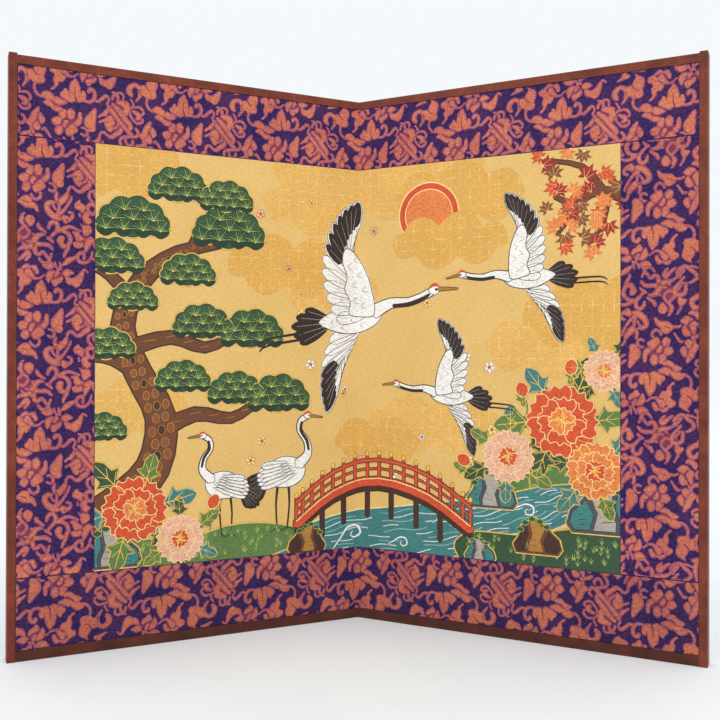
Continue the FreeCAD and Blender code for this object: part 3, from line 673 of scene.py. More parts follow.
STROKES = [
    # ring under the heart-shaped leaf
    [(10, -3.4, 1.2), (12.6, -3.5, 1.8), (14.4, -5.8, 1.9), (14, -8.2, 1.9), (11.8, -9.2, 1.8),
     (9.7, -8, 1.3)],
    # peony: swoosh, bands, edges and strands
    [(36.6, 20.6, 3), (42.4, 19, 5.9), (44.2, 16.4, 5.9), (42.4, 11, 4.2)],
    [(32.8, 18.2, 2.6), (38, 13.6, 4.2), (43, 7.2, 4), (45.7, 4.4, 4), (47, 1.6, 3.4), (45.8, -0.8, 2.4)],
    [(29.4, 14, 2.4), (32.2, 12.6, 3.6), (39.9, 3.8, 3.4), (48, -4.4, 3.2)],
    [(32.8, 21.4, 1.5), (33.2, 24, 1.9), (35, 26, 2.2), (36.8, 24.6, 2.2), (37, 22.4, 2.2)],
    [(32.4, 27.6, 1), (35.4, 26.9, 1.5), (38, 27.6, 1.5), (40.2, 27.2, 1.7), (41.2, 25.4, 1.5),
     (41, 23, 1.3)],
    [(46.6, 24, 0.9), (48.4, 21.4, 1.3), (49, 18.8, 1.2), (47.4, 16.4, 1)],
    [(23.2, 2.6, 1.4), (27.6, 4.8, 1.9)],
    [(37.4, 5, 1.4), (37.5, 2.4, 1.6), (36, 0.2, 1.8), (33.6, -1.4, 2)],
    [(23.7, -10.6, 1.6), (23.9, -7, 1.9), (25.8, -4.8, 1.9), (28, -5.4, 2), (30.2, -7.4, 2.1),
     (32.8, -7.8, 3), (35.4, -5.5, 3.5), (38.2, -3.6, 4.1), (39.8, -1.4, 2.8), (38.6, 0.8, 1.5)],
    # vines from the three-lobed leaf to the peony
    [(11, 17.6, 1.8), (14.4, 17.2, 1.9), (17, 17.9, 2.3), (18.8, 20.2, 2.5), (19.5, 23.6, 2.5),
     (18.3, 26.6, 2.5), (15.9, 27, 2.9), (15, 25, 2.9)],
    [(19.4, 19, 1.6), (22.4, 18.7, 2.1), (27.2, 23.3, 2.5), (29.4, 23, 1.8), (30.3, 20.6, 1.3),
     (29, 18, 1.4), (29.6, 16.4, 1.6), (31.4, 15.4, 1.8)],
    # curly bud beside the peony
    [(50, 17.6, 1.2), (52.6, 18.6, 1.6), (55.4, 17.4, 1.7), (57, 14.8, 1.6), (56, 12.6, 1.4)],
    [(46.8, 13.6, 1.3), (46.9, 10.8, 1.5), (51, 6, 1.6), (54.4, 5.9, 1.9), (56.4, 7.6, 1.7),
     (56.2, 9.8, 1.4)],
    [(48.6, 14.6, 1.6), (52.8, 12.6, 3.8), (53.6, 9.8, 3.2), (51.6, 9.4, 2.4)],
    # stem of the leaf pair
    [(-17.4, 16.8, 2), (-20.2, 16.8, 1.7), (-22.8, 18.4, 1.7), (-24.5, 21.2, 1.7), (-24.7, 24.4, 1.7),
     (-23.8, 27.4, 1.8)],
    # open ring at the far right
    [(47.4, 26.9, 3), (45.4, 29.6, 4.2), (46.2, 33.2, 4), (49.6, 35.6, 3.3), (52.6, 34.6, 3.2),
     (54.2, 31.4, 2.8), (54.2, 27.8, 2.4), (51, 22.8, 1.2)],
    # stems of the two upper flowers
    [(-1, 35.2, 2.2), (3.2, 35, 1.4), (7.2, 38.2, 0.8)],
    [(35, 42.4, 1.7), (37, 42.7, 1.2), (38.7, 41, 0.9)],
    [(18, 48, 0.9), (18.2, 44.6, 1.2), (19.4, 42, 1.2)],
    [(14.4, 47.8, 0.9), (16.6, 41.8, 1)],
    # curls right of the peony
    [(48.2, -5.4, 2.4), (41, -7, 2.1), (39.2, -9.8, 2), (40, -12.8, 2), (42.2, -15.2, 1.5)],
    [(43.4, -7.2, 1.6), (43.6, -10.4, 1.8), (45.6, -12.6, 2.2), (48.2, -12.2, 2.2), (49.3, -9.8, 1.8),
     (48.8, -8.2, 1.2)],
    [(50.6, 1.4, 1.2), (52.6, -0.4, 2), (53, -3.2, 2.2), (51, -5.3, 2.3), (48.4, -5.3, 2.5)],
    [(-18.6, -8.2, 1.3), (-16.4, -7.7, 1.9), (-12, -14, 1.1)],
    # hook under the flower, and the tail of the pointed leaf
    [(-3, -12.4, 1.3), (-1.7, -15, 1.8), (0.8, -16.3, 2), (3, -15.1, 2), (4, -12.6, 1.8), (3, -10.4, 1.5)],
    [(-10.4, -18.4, 1.9), (-15, -18.8, 1.6), (-17, -20, 1.1)],
    # strands round the petals under the bud
    [(-26.6, -6.6, 2), (-25.9, -9.4, 2.3), (-24.6, -11.8, 2)],
    [(-33, -14, 2.6), (-31, -12.6, 2.8), (-28.6, -12, 2.6), (-26.4, -10.2, 2)],
    [(-31.8, -16.8, 1.6), (-29.9, -18.6, 2.2), (-29.7, -21, 2.1), (-31.4, -23, 1.6)],
    # curled flower
    [(13.6, -18, 2.4), (10.8, -17.8, 3.3), (8.4, -20, 3.6), (9, -23.4, 4), (11.6, -26.7, 4.6),
     (15, -28.7, 4.2), (18.2, -29.4, 3.2)],
    [(12.2, -18.6, 1.7), (15, -23.2, 1.2)],
    [(17.2, -18.2, 1.4), (17, -24.6, 2.6), (16, -27.2, 3.2)],
    [(26.3, -12, 1.4), (25.5, -15, 1.7), (21.6, -21.8, 1.9), (17.2, -26.6, 3.2)],
    [(15.7, -9.6, 1.6), (14.9, -12.4, 2.3), (15.3, -15.2, 2.7), (17.4, -17.2, 3)],
    [(24.2, -24.2, 1.6), (26.6, -25.1, 2.1), (27.1, -27.4, 2.3), (25.1, -29.6, 2.6), (22.6, -30.4, 3.2)],
    # ring of petals at the right
    [(38.2, -19.2, 2.6), (40.4, -16.9, 2.9), (43.4, -17.4, 2.7), (44.8, -20.2, 2.5), (43.8, -23.4, 2.4),
     (41.4, -24.8, 2)],
    [(38, -18.2, 2.8), (38.6, -21.4, 2.5), (40.4, -24, 2.5), (42.8, -24.7, 2)],
    [(32.3, -24.8, 1.2), (32.8, -27.2, 1.3)],
    [(42.4, -45.4, 1.7), (44.4, -51.4, 1.2)],
    # arch, vines and the big spiral
    [(9.8, -37.8, 1.7), (10.6, -34.3, 2.6), (13, -32.4, 2.8), (15.7, -33.7, 2.8), (16.3, -36.4, 2.8),
     (15.8, -38.8, 2.5)],
    [(11, -44.4, 1.6), (15.6, -39.4, 2.7), (19, -38, 2.9), (22.6, -36, 2.5), (26.4, -35.5, 2.1),
     (33, -38.2, 1.5)],
    [(16, -39.2, 2), (19.4, -38.8, 2.6), (22.6, -39.8, 2.7), (25, -42.4, 2.9), (25.6, -46, 2.9),
     (24.1, -49.6, 3), (23.5, -52.6, 2.6), (21.9, -55.6, 2.3), (21, -58.8, 1.5)],
    # ring at the lower right
    [(35.2, -54, 2), (32, -55.6, 2.5), (30.6, -58.6, 2.3), (32.6, -61.6, 2.5), (36, -62.4, 2.3),
     (39.4, -60.6, 2.1), (41.3, -57.4, 1.8), (42.2, -53.2, 1.3)],
    [(34, -54.2, 2.4), (36, -56.6, 2), (35.6, -59.6, 1.7)],
    [(29, -58.2, 2), (31, -58, 2)],
    [(41.2, -57.6, 1.4), (47, -62.8, 1.3)],
    # ray-like peony: ring, stripes, arms and outer swoosh
    [(-7.8, -37, 2), (-12.2, -41.9, 2.2)],
    [(-7.4, -36.6, 1.9), (-4.1, -41.2, 2), (-7.4, -46, 2.1), (-9.8, -44.8, 1.7)],
    [(-13.2, -42.6, 3), (-17, -42.7, 2.7), (-19.3, -45, 2.5), (-19.6, -51.6, 1.7)],
    [(-12.6, -42.2, 2.8), (-11.7, -45.4, 3.5), (-12.8, -48.6, 2.7), (-18.4, -56, 1.4)],
    [(-13.8, -46.2, 1.3), (-17.8, -51.6, 1.2)],
    [(-1, -50.6, 5), (0, -46.8, 4.2), (1.8, -43.8, 3.8), (5, -42.6, 2.5), (7.2, -42.8, 1.3)],
    [(-1.4, -42.4, 1.5), (0.4, -44, 2.4)],
    [(0, -49.8, 4.2), (4, -50, 2.8), (7.6, -49.9, 3.1), (10.6, -50.8, 2.7), (12.8, -53.4, 1.7)],
    [(-1.4, -51, 4.8), (-5, -52.6, 3.2), (-8.6, -53.1, 2.9), (-11.6, -54.6, 1.8)],
    [(-6.2, -51.8, 1.8), (-8.6, -50, 1.4)],
    [(-5.8, -48.2, 1.4), (-2.8, -48.8, 2.2)],
    [(-0.6, -51.6, 3.6), (1, -57, 2.9), (3.6, -57.3, 2.5), (5.8, -55.5, 2.1), (10.2, -61, 2.2)],
    [(-4.8, -56.4, 3.8), (-9.6, -61, 2.3), (-12.2, -62.8, 1.3)],
    [(-3.8, -57, 3), (-4.4, -60, 2.4), (-6.6, -62.8, 1.3)],
    [(-12, -54.4, 1.6), (-15.6, -60.2, 2), (-18.2, -62.2, 1.6)],
    [(-14.6, -55.2, 1.3), (-16, -58, 1.7), (-18.6, -61.2, 1.3)],
    [(-22, -51.4, 1.5), (-25, -52.8, 2.1), (-27.4, -55.4, 2.5), (-26, -58.6, 2.5), (-23, -60.8, 2.7),
     (-20.6, -63.3, 2.6), (-17.6, -63.7, 2.2), (-14.6, -62, 1.8), (-12.6, -59, 1.5)],
    [(-30.4, -61.8, 1.1), (-22.6, -64, 1.5)],
    [(3, -60.4, 1.5), (4.8, -62.8, 1.9), (7.6, -64.4, 2.4), (10.8, -63.6, 2.4)],
    [(2, -34.8, 2.3), (3.4, -37.6, 2.7), (8, -40.8, 1.3)],
    [(9, -44.6, 2.2), (11.4, -46.2, 2.2), (13.2, -48.2, 1.4)],
    [(12.2, -56.4, 1.3), (10.2, -61.8, 2.3)],
    [(-7.4, -27, 1), (-9, -28.6, 1.4), (-10, -31, 2)],
    [(-13.8, -28.2, 1.1), (-16.4, -33, 1.7), (-16.7, -35.6, 2)],
    # thick ring and strand at the left
    [(-30.8, -36.6, 1.6), (-29.2, -33.4, 3), (-26.2, -32.9, 3.5), (-24.2, -35.8, 3.5), (-24.8, -39.2, 3.7),
     (-30.8, -43, 3.8), (-32.4, -46.4, 2.6)],
    [(-31.6, -52.2, 1.4), (-30.4, -60, 3.1), (-31, -64, 3.1), (-32.8, -68, 2.4)],
    # thin crossing stems
    [(20, -64.2, 1.2), (17.8, -68, 1.2), (14.4, -71.4, 1)],
    [(10.4, -62.4, 1.4), (17.8, -68.6, 1)],
]
UNDERLAYS = [
    # the tone that shows between touching petals
    [(-1, 6), (2.5, 3), (6.5, 3.5), (8, 0), (5, -3.5), (2, -6), (-3, -8), (-6, -5), (-8.5, -2), (-6, 1.5),
     (-4, 5)],
    [(30, 12), (34, 18), (36.5, 22), (40, 20), (43, 15), (45.5, 6), (45, -2), (39, -1), (35, -3), (32, 0),
     (30, 6)],
    [(-23, 5), (-20, 1), (-20.5, -5), (-23, -6.5), (-26, -5), (-25, -1)],
    [(12, 40), (13, 35), (17, 36), (22, 39), (18, 40)],
    [(-10, 38), (-5, 40), (-4, 35), (-8, 33)],
    [(-25, -15), (-21, -14), (-20, -19), (-23, -24), (-27, -23)],
    [(33, -20), (38, -22), (38, -30), (37, -38), (34, -36), (35, -28)],
    [(30, -43), (34, -42), (40, -44), (38, -50), (33, -49)],
    [(-10, -38), (-5, -40), (1, -44), (3, -50), (0, -55), (-6, -53), (-12, -48), (-17, -46), (-14, -41)],
]
VEINS = [
    [(-26.4, 36.8, 1.2), (-23.4, 33, 1), (-21.4, 32.9, 0.6)],
    [(4.8, 27, 0.5), (4.5, 21, 1.1), (6, 15.9, 1.5)],
    [(0, 24.9, 1), (0.1, 21.8, 0.5)],
    [(8.9, 24.8, 1), (9.3, 22, 0.5)],
    [(-12.4, 14.6, 0.6), (-9.4, 11.6, 1.1), (-4.6, 11, 0.6)],
    [(-10.6, 18.6, 1), (-9.4, 16.2, 0.5)],
    [(46.6, 20.2, 1), (46.2, 18.4, 1.3), (46.8, 16.8, 0.9)],
    [(28.4, 3, 0.8), (29.4, 3.2, 0.9), (30.2, 4.2, 0.6)],
    [(34.2, 0.9, 1), (32.8, 0.2, 0.9), (31.8, 0.4, 0.6)],
    [(-9.2, -17.6, 0.7), (-5.4, -19, 0.9), (-4.4, -20, 0.5)],
    [(17.9, -11, 0.8), (17.2, -14.8, 0.8)],
    [(12.6, -1.8, 0.5), (14.2, -4, 0.8)],
    [(18.8, -26.2, 1), (19.4, -27.6, 1), (18.6, -29, 0.7)],
    [(24.6, -8.4, 0.8), (24.9, -11, 1), (24.2, -14, 1), (22.6, -16.6, 1.1), (20.9, -18, 0.8)],
]


def scroll_figures(origin, turn, stretched, box, bm, low):
    """Fill a rectangle of cloth with the repeat, set out from a flower's centre, turned and stretched."""
    low_u, high_u, low_z, high_z = box
    figure_steps = (-FIGURE_SPREAD, FIGURE_SLOPE - FIGURE_SPREAD, FIGURE_SLOPE + EDGE_BAND)
    figure_levels = (low, low - FIGURE_RISE, low - FIGURE_RISE - CORE_RISE)
    vein_steps = (0.0, VEIN_SLOPE)
    kinds = (
        (UNDERLAYS, loop_rings, vein_steps, (low, low - UNDER_RISE), (SEAM_TONE, SEAM_TONE)),
        (LEAVES, loop_rings, figure_steps, figure_levels, (EDGE_TONE, EDGE_TONE, ORANGE)),
        (STROKES, stroke_rings, figure_steps, figure_levels, (EDGE_TONE, EDGE_TONE, ORANGE)),
        (VEINS, stroke_rings, vein_steps, (low, low - FIGURE_RISE - VEIN_RISE), (SEAM_TONE, SEAM_TONE)),
    )
    drawn = []
    for outlines, rings_of, steps, levels, tones in kinds:
        drawn += [(rings_of(points, CURVE_CUTS, steps), levels, tones) for points in outlines]
    cosine = math.cos(math.radians(turn))
    sine = math.sin(math.radians(turn))
    reach = math.hypot(high_u - low_u, high_z - low_z)
    columns = math.ceil(reach / REPEAT_ACROSS) + 1
    rows = math.ceil(reach / REPEAT_UP) + 1
    for column in range(-columns, columns + 1):
        for row in range(-rows, rows + 1):
            right = column * REPEAT_ACROSS * stretched
            rise = row * REPEAT_UP
            centre = (origin[0] + right * cosine - rise * sine, origin[1] + right * sine + rise * cosine)
            for rings, levels, tones in drawn:
                placed = [moved(ring, centre, turn) for ring in rings]
                us = [point[0] for point in placed[0]]
                zs = [point[1] for point in placed[0]]
                if max(us) < low_u or min(us) > high_u or max(zs) < low_z or min(zs) > high_z:
                    continue
                raise_figure(bm, placed, levels, tones)
    clip(bm, low_u + SEAM, high_u - SEAM, low_z + SEAM, high_z - SEAM)
    return bm


def brocade(ending, share):
    """The brocade's ground and the tones of its figures, at a share of their light."""
    ground = woven(
        "brocade_ground" + ending, ((13, 6, 78), (38, 13, 75), (82, 31, 78)), share,
        warp=0.8, weft=0.7, mottle=1.9, speck=(90, 42, 82), sheen=0.03,
    )
    orange = woven(
        "brocade_orange" + ending, ((160, 76, 72), (192, 103, 78), (214, 126, 80)), share,
        warp=0.9, weft=0.62, twill=0.5, mottle=1.6, speck=(182, 90, 106), sheen=0.03,
        roughness=(0.55, 0.72), bump=0.5,
    )
    edge = woven(
        "brocade_edge" + ending, ((126, 58, 86), (156, 78, 96), (184, 102, 110)), share,
        warp=0.9, weft=0.62, mottle=1.3, sheen=0.03,
    )
    seam = woven(
        "brocade_seam" + ending, ((88, 28, 60), (116, 44, 68), (144, 66, 76)), share,
        warp=0.9, weft=0.62, mottle=0.8, sheen=0.03,
    )
    return ground, [orange, edge, seam]


# Painted shade: the strip along the bottom gets dimmed copies of the brocade's materials,
# as it looks darker in the photo than the light on it explains
PAINTED_SHADE_SHARE = 0.85
high_brocade = brocade("", 1.0)
painted_shade_brocade = brocade("_low", PAINTED_SHADE_SHARE)
gold_ground = woven(
    "gold_ground", ((206, 164, 92), (220, 180, 106), (234, 197, 126)), warp=0.9, weft=0.6, twill=-0.7,
    mottle=0.7, speck=(238, 206, 138), sheen=0.03, roughness=(0.45, 0.62), streak=0.3,
)
back_weave = woven(
    "back_weave", ((92, 72, 54), (112, 90, 68), (134, 110, 84)), warp=0.9, weft=0.9, mottle=0.5, sheen=0.2,
    streak=0.4,
)
edge_weave = woven(
    "edge_weave", ((62, 40, 70), (80, 52, 86), (102, 70, 104)), warp=0.8, weft=0.8, mottle=0.5, sheen=0.2
)

# Strip name, replaced nodes, its rectangle, the flower centre its repeat is set out from, the angle in
# degrees at which the strip was cut from the cloth and its stretch along the repeat, as the photo shows them
STRIPS = [
    ("top", ("left_border_top_half", "right_border_top_half"),
     (-FRAME_INNER, FRAME_INNER, PICTURE_HIGH, CORE_HIGH), (6.5, 403.75), -0.92, 1.0),
    ("bottom", ("left_border_bottom_half", "right_border_bottom_half"),
     (-FRAME_INNER, FRAME_INNER, CORE_LOW, PICTURE_LOW), (1.3, 48.95), 178.59, 1.0043),
    ("left", ("left_border_side",),
     (-FRAME_INNER, -PICTURE_SIDE, PICTURE_LOW, PICTURE_HIGH), (-269.4, 252.0), -0.2, 1.0),
    ("right", ("right_border_side",),
     (PICTURE_SIDE, FRAME_INNER, PICTURE_LOW, PICTURE_HIGH), (252.0, 232.8), 178.9, 1.0),
]
for side, nodes, box, origin, turn, stretched in STRIPS:
    ground_front = BROCADE_FRONT + FIGURE_RISE
    ground_mesh = bmesh.new()
    slab(ground_mesh, *box, ground_front, FACE_BACK)
    figure_mesh = bmesh.new()
    scroll_figures(origin, turn, stretched, box, figure_mesh, ground_front)
    crosses = side in ("top", "bottom")
    if crosses:
        cut_at_fold(ground_mesh)
        cut_at_fold(figure_mesh)
        # the cloth's turned-in edge closes the slit between the ends of the rails
        low_z, high_z = (CORE_HIGH, RAIL_HIGH) if side == "top" else (RAIL_LOW, CORE_LOW)
        front, back = FACE_BACK - SLIT_CLOTH_FRONT, FACE_BACK - SLIT_CLOTH_BACK
        slab(ground_mesh, -SLIT, SLIT, low_z, high_z, front, back, 0.0)
    # the bottom strip takes the dimmed copies of the brocade, as painted shade
    ground_material, figure_materials = painted_shade_brocade if side == "bottom" else high_brocade
    cloth = finish_mesh(f"brocade_{side}", ground_mesh, [ground_material])
    scroll = finish_mesh(f"brocade_{side}_scroll", figure_mesh, figure_materials)
    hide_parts(*nodes)
    for piece in (cloth, scroll):
        if crosses:
            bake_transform(piece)
        else:
            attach(piece, f"{side}_panel")

# The picture: a pine, cranes, peonies, a maple, a stream and a bridge among cloud banks, newly designed.
# Its patches and lines lie in layers, each a little above the one under it: clouds in 0 and 1, the sun in
# 2 and 3, the stream in 1 to 4, branches from 3, banks and rocks from 5, the bridge from 5, the cranes from
# 5, leaves from 8 and flowers from 10. Patches that follow each other in a layer also rise by tiny steps.
FIRST_RISE = 0.09
LAYER_RISE = 0.026
RIM_RISE = 0.002
NEXT_RISE = 0.0006
NEXT_COUNT = 40
ABOVE_SUN = 4
THREAD_STEPS = (0.0, 0.15)
THREADS = {
    "cloud_gold": (219, 172, 90), "deep_gold": (214, 164, 80), "pale_gold": (246, 212, 140),
    "bright_gold": (236, 188, 84), "old_gold": (170, 122, 52), "ink": (48, 34, 30),
    "white": (240, 236, 228), "grey": (168, 160, 150), "vermilion": (208, 80, 44), "orange": (224, 128, 66),
    "rose": (228, 174, 148), "red": (160, 42, 32), "pine_green": (50, 80, 52), "deep_green": (34, 58, 42),
    "leaf_green": (92, 124, 66), "light_green": (156, 172, 92), "brown": (110, 66, 42),
    "rust": (136, 80, 46), "dark_brown": (68, 42, 32), "teal": (62, 124, 122), "water": (146, 186, 190),
    "slate": (76, 78, 84),
}
PICTURE_SEED = 11
chance = random.Random(PICTURE_SEED)


def raise_rim(bm, loop, width, low, high, material):
    """Add a raised line that follows the inside of a closed outline."""
    levels = ((0.0, low), (0.2, high), (0.8, high), (1.0, low))
    rings = [[bm.verts.new((u, level, z)) for u, z in inset(loop, width * share)] for share, level in levels]
    for outer, inner in zip(rings, rings[1:]):
        join_rings(bm, outer, inner, material, False)


def arcs(corners, bulge=0.32, steps=6):
    """A closed outline of arcs that bulge outward between counterclockwise corners."""
    made = []
    for start, end in zip(corners, corners[1:] + corners[:1]):
        du = end[0] - start[0]
        dv = end[1] - start[1]
        for step in range(steps):
            t = step / steps
            out = bulge * math.sin(math.pi * t) ** 0.8
            made.append((start[0] + du * t + dv * out, start[1] + dv * t - du * out))
    return made


def oval(centre, wide, high, count, start=0.0):
    """Points round an oval."""
    turns = [start + 2 * math.pi * number / count for number in range(count)]
    return [(centre[0] + wide / 2 * math.cos(turn), centre[1] + high / 2 * math.sin(turn)) for turn in turns]


class Drawing:
    """One piece of the picture, drawn patch by patch; its motifs may be set down turned or mirrored."""

    def __init__(self):
        self.bm = bmesh.new()
        self.names = []
        self.count = 0
        self.set_down()

    def set_down(self, centre=(0.0, 0.0), turn=0.0, size=1.0, mirror=1.0):
        """Draw what follows from that centre, turned, scaled and mirrored; with none given, as drawn."""
        self.at = (centre, turn, size, mirror)

    def level(self, layer):
        """The next level in a layer, a tiny step above the last."""
        self.count += 1
        return PICTURE_FRONT - FIRST_RISE - LAYER_RISE * layer - NEXT_RISE * (self.count % NEXT_COUNT)

    def slot(self, name):
        """The place of a thread in this piece's list of materials."""
        if name not in self.names:
            self.names.append(name)
        return self.names.index(name)

    def patch(self, outline, name, layer, rim=None, width=0.8, cuts=3):
        """Add a filled outline, with a raised rim of another thread if one is named."""
        rings = loop_rings(moved(outline, *self.at), cuts, THREAD_STEPS)
        high = self.level(layer)
        raise_figure(self.bm, rings, (PICTURE_FRONT, high), [self.slot(name)] * 2)
        if rim:
            raise_rim(self.bm, rings[1], width, high, high - RIM_RISE, self.slot(rim))

    def line(self, points, name, layer, edge=None, width=0.8, cuts=3):
        """Add a stroke whose points each have a width, on a wider one of another thread if one is named."""
        points = moved(points, *self.at)
        if edge:
            wider = [(u, v, across + 2 * width) for u, v, across in points]
            rings = stroke_rings(wider, cuts, THREAD_STEPS)
            raise_figure(self.bm, rings, (PICTURE_FRONT, self.level(layer)), [self.slot(edge)] * 2)
            layer += 1
        rings = stroke_rings(points, cuts, THREAD_STEPS)
        raise_figure(self.bm, rings, (PICTURE_FRONT, self.level(layer)), [self.slot(name)] * 2)


def between(start, end, share):
    """The place at that share of the way from one to another."""
    return tuple(a + (b - a) * share for a, b in zip(start, end))


def around(centre, angle, distance):
    """The place at an angle in degrees and a distance from a centre."""
    du = math.cos(math.radians(angle))
    dv = math.sin(math.radians(angle))
    return centre[0] + du * distance, centre[1] + dv * distance


def spoke(root, angle, near, far, thick, thin):
    """A straight stroke away from a root, at an angle in degrees, between two distances."""
    return [(*around(root, angle, near), thick), (*around(root, angle, far), thin)]


def clouds(drawing):
    """Banks of overlapping scalloped clouds, some in a deeper gold than others."""
    banks = [
        (18, 388, 196, 50, 11), (92, 364, 116, 34, 8), (-40, 360, 96, 32, 7), (212, 262, 128, 40, 9),
        (172, 238, 112, 32, 8), (-64, 306, 110, 32, 8), (-26, 288, 90, 26, 7), (-214, 388, 104, 56, 7),
        (70, 172, 120, 30, 8), (18, 156, 84, 24, 6), (-196, 186, 90, 30, 7), (84, 327, 104, 26, 8),
    ]
    for number, (u, v, wide, high, lobes) in enumerate(banks):
        corners = oval((u, v), wide, high, lobes, 0.3 * number)
        # the last bank crosses the sun
        layer = ABOVE_SUN if number == len(banks) - 1 else number % 2
        drawing.patch(arcs(corners), ("cloud_gold", "deep_gold")[number % 2], layer, cuts=1)


def clump(drawing, u, v, wide):
    """A mound of pine needles: a scalloped cushion with fans of needles on it."""
    high = wide * 0.42
    turns = (0.0, 0.52, 1.1, 1.7, 2.3, 2.8, math.pi)
    top = [(u + wide / 2 * math.cos(turn), v + high * math.sin(turn)) for turn in turns]
    bottom = [(u - wide * 0.2, v - high * 0.18), (u + wide * 0.16, v - high * 0.18)]
    drawing.patch(arcs(top + bottom, 0.22), "pine_green", 6, "bright_gold", 0.8, 1)
    rows = ((0.58, (-0.12, 0.14)), (0.27, (-0.27, 0.0, 0.27)), (-0.06, (-0.37, -0.13, 0.13, 0.37)))
    for row, (rise, places) in enumerate(rows):
        for place in places:
            root = (u + place * wide, v + rise * high)
            cushion = arcs(oval(root, wide * 0.25, wide * 0.2, 5, 0.3), 0.2, 3)
            drawing.patch(cushion, "deep_green", 7 + row, cuts=1)
            for step in range(11):
                needle = spoke(root, 6 + 16.8 * step, wide * 0.02, wide * 0.155, 1.0, 0.5)
                drawing.line(needle, ("light_green", "leaf_green", "leaf_green")[step % 3], 10, cuts=1)
            drawing.patch(oval(root, 2.2, 1.8, 6), "bright_gold", 11)


def pine(drawing):
    """An old pine: trunk, branches, scales of bark and mounds of needles."""
    trunk = [(-238, 92, 34), (-208, 112, 30), (-180, 140, 27), (-174, 180, 24), (-192, 216, 21),
             (-204, 252, 18), (-190, 288, 15), (-160, 312, 11), (-124, 322, 7)]
    branches = [
        [(-176, 168, 13), (-146, 182, 11), (-116, 178, 8), (-92, 190, 6), (-70, 188, 4)],
        [(-196, 236, 12), (-166, 244, 10), (-138, 236, 8), (-112, 246, 5), (-96, 242, 3)],
        [(-192, 214, 10), (-212, 226, 8), (-230, 228, 6)],
        [(-196, 272, 10), (-214, 292, 8), (-230, 300, 6)],
        [(-150, 314, 8), (-140, 334, 6), (-122, 348, 4)],
    ]
    for points in branches + [trunk]:
        drawing.line(points, "brown", 3, "dark_brown", 1.1)
    bark = along_curve(trunk, False, 4)
    for number, (u, v, wide) in enumerate(bark[1:]):
        for share in ((-0.3, 0.0, 0.3), (-0.16, 0.15))[number % 2]:
            place = (u + share * wide, v + share * 5)
            name = ("dark_brown", "rust")[(number + round(share * 10)) % 2]
            scale = arcs(oval(place, wide * 0.26, wide * 0.36, 5, 0.4 + share), 0.16, 3)
            drawing.patch(scale, name, 5, "old_gold", 0.6, 1)
    for points in branches:
        for u, v, wide in along_curve(points, False, 2)[1:-1]:
            drawing.line([(u - wide * 0.4, v, 0.8), (u + wide * 0.4, v + 1.5, 0.8)], "old_gold", 5, cuts=1)
    clumps = [
        (-196, 330, 58), (-118, 326, 62), (-120, 354, 46), (-160, 360, 50), (-212, 300, 50), (-152, 292, 46),
        (-98, 244, 56), (-140, 250, 50), (-216, 232, 44), (-74, 190, 56), (-112, 196, 48), (-156, 206, 46),
        (-220, 168, 40), (-196, 270, 40),
    ]
    for place in clumps:
        clump(drawing, *place)


def feather(drawing, root, angle, length, wide, name, layer, tip):
    """One feather from its root, with a shaft and, if asked, a tip of another colour."""
    outline = [(0, 0), (0.35, -0.32), (0.75, -0.5), (0.97, -0.25), (1, 0.1), (0.82, 0.45), (0.35, 0.4)]
    du = math.cos(math.radians(angle))
    dv = math.sin(math.radians(angle))

    def laid(points):
        return [(root[0] + a * length * du - b * wide * dv, root[1] + a * length * dv + b * wide * du)
                for a, b in points]

    drawing.patch(laid(outline), name, layer, "ink", 0.55, 2)
    if tip:
        end = [(0.56, -0.3), (0.78, -0.4), (0.95, -0.2), (0.97, 0.08), (0.8, 0.34), (0.56, 0.3)]
        drawing.patch(laid(end), tip, layer + 1, cuts=2)
    drawing.line([(*laid([(0.1, 0)])[0], 0.5), (*laid([(0.86, 0)])[0], 0.4)], "grey", layer + 2, cuts=1)


def feathers(drawing, arm, angles, lengths, wide, count, name, layer, tips=None):
    """A row of feathers whose roots follow an arm of three places while their angle and length change.

    They have ink tips from the number tips on, if it is given."""
    for number in range(count):
        share = number / (count - 1)
        half = min(int(share * 2), 1)
        root = between(arm[half], arm[half + 1], share * 2 - half)
        angle = angles[0] + (angles[1] - angles[0]) * share
        length = lengths[0] + (lengths[1] - lengths[0]) * share + 5 * math.sin(math.pi * share)
        dark_tip = tips is not None and number >= tips
        feather(drawing, root, angle, length, wide, name, layer, "ink" if dark_tip else None)


def crane_head(drawing, u, v):
    """A crane's head: beak, red crown and eye."""
    drawing.patch(oval((u, v), 8.5, 6.4, 8), "white", 11, "ink", 0.6)
    drawing.line([(u + 3, v + 0.2, 2.6), (u + 15, v - 1.6, 0.9)], "old_gold", 12, "ink", 0.4, 1)
    drawing.line([(u - 2.6, v + 2.4, 1.6), (u + 0.4, v + 3.4, 2.4), (u + 2.8, v + 2.2, 1.4)], "vermilion", 13)
    drawing.patch(oval((u + 1.2, v + 0.2), 1.9, 1.9, 6), "ink", 14)


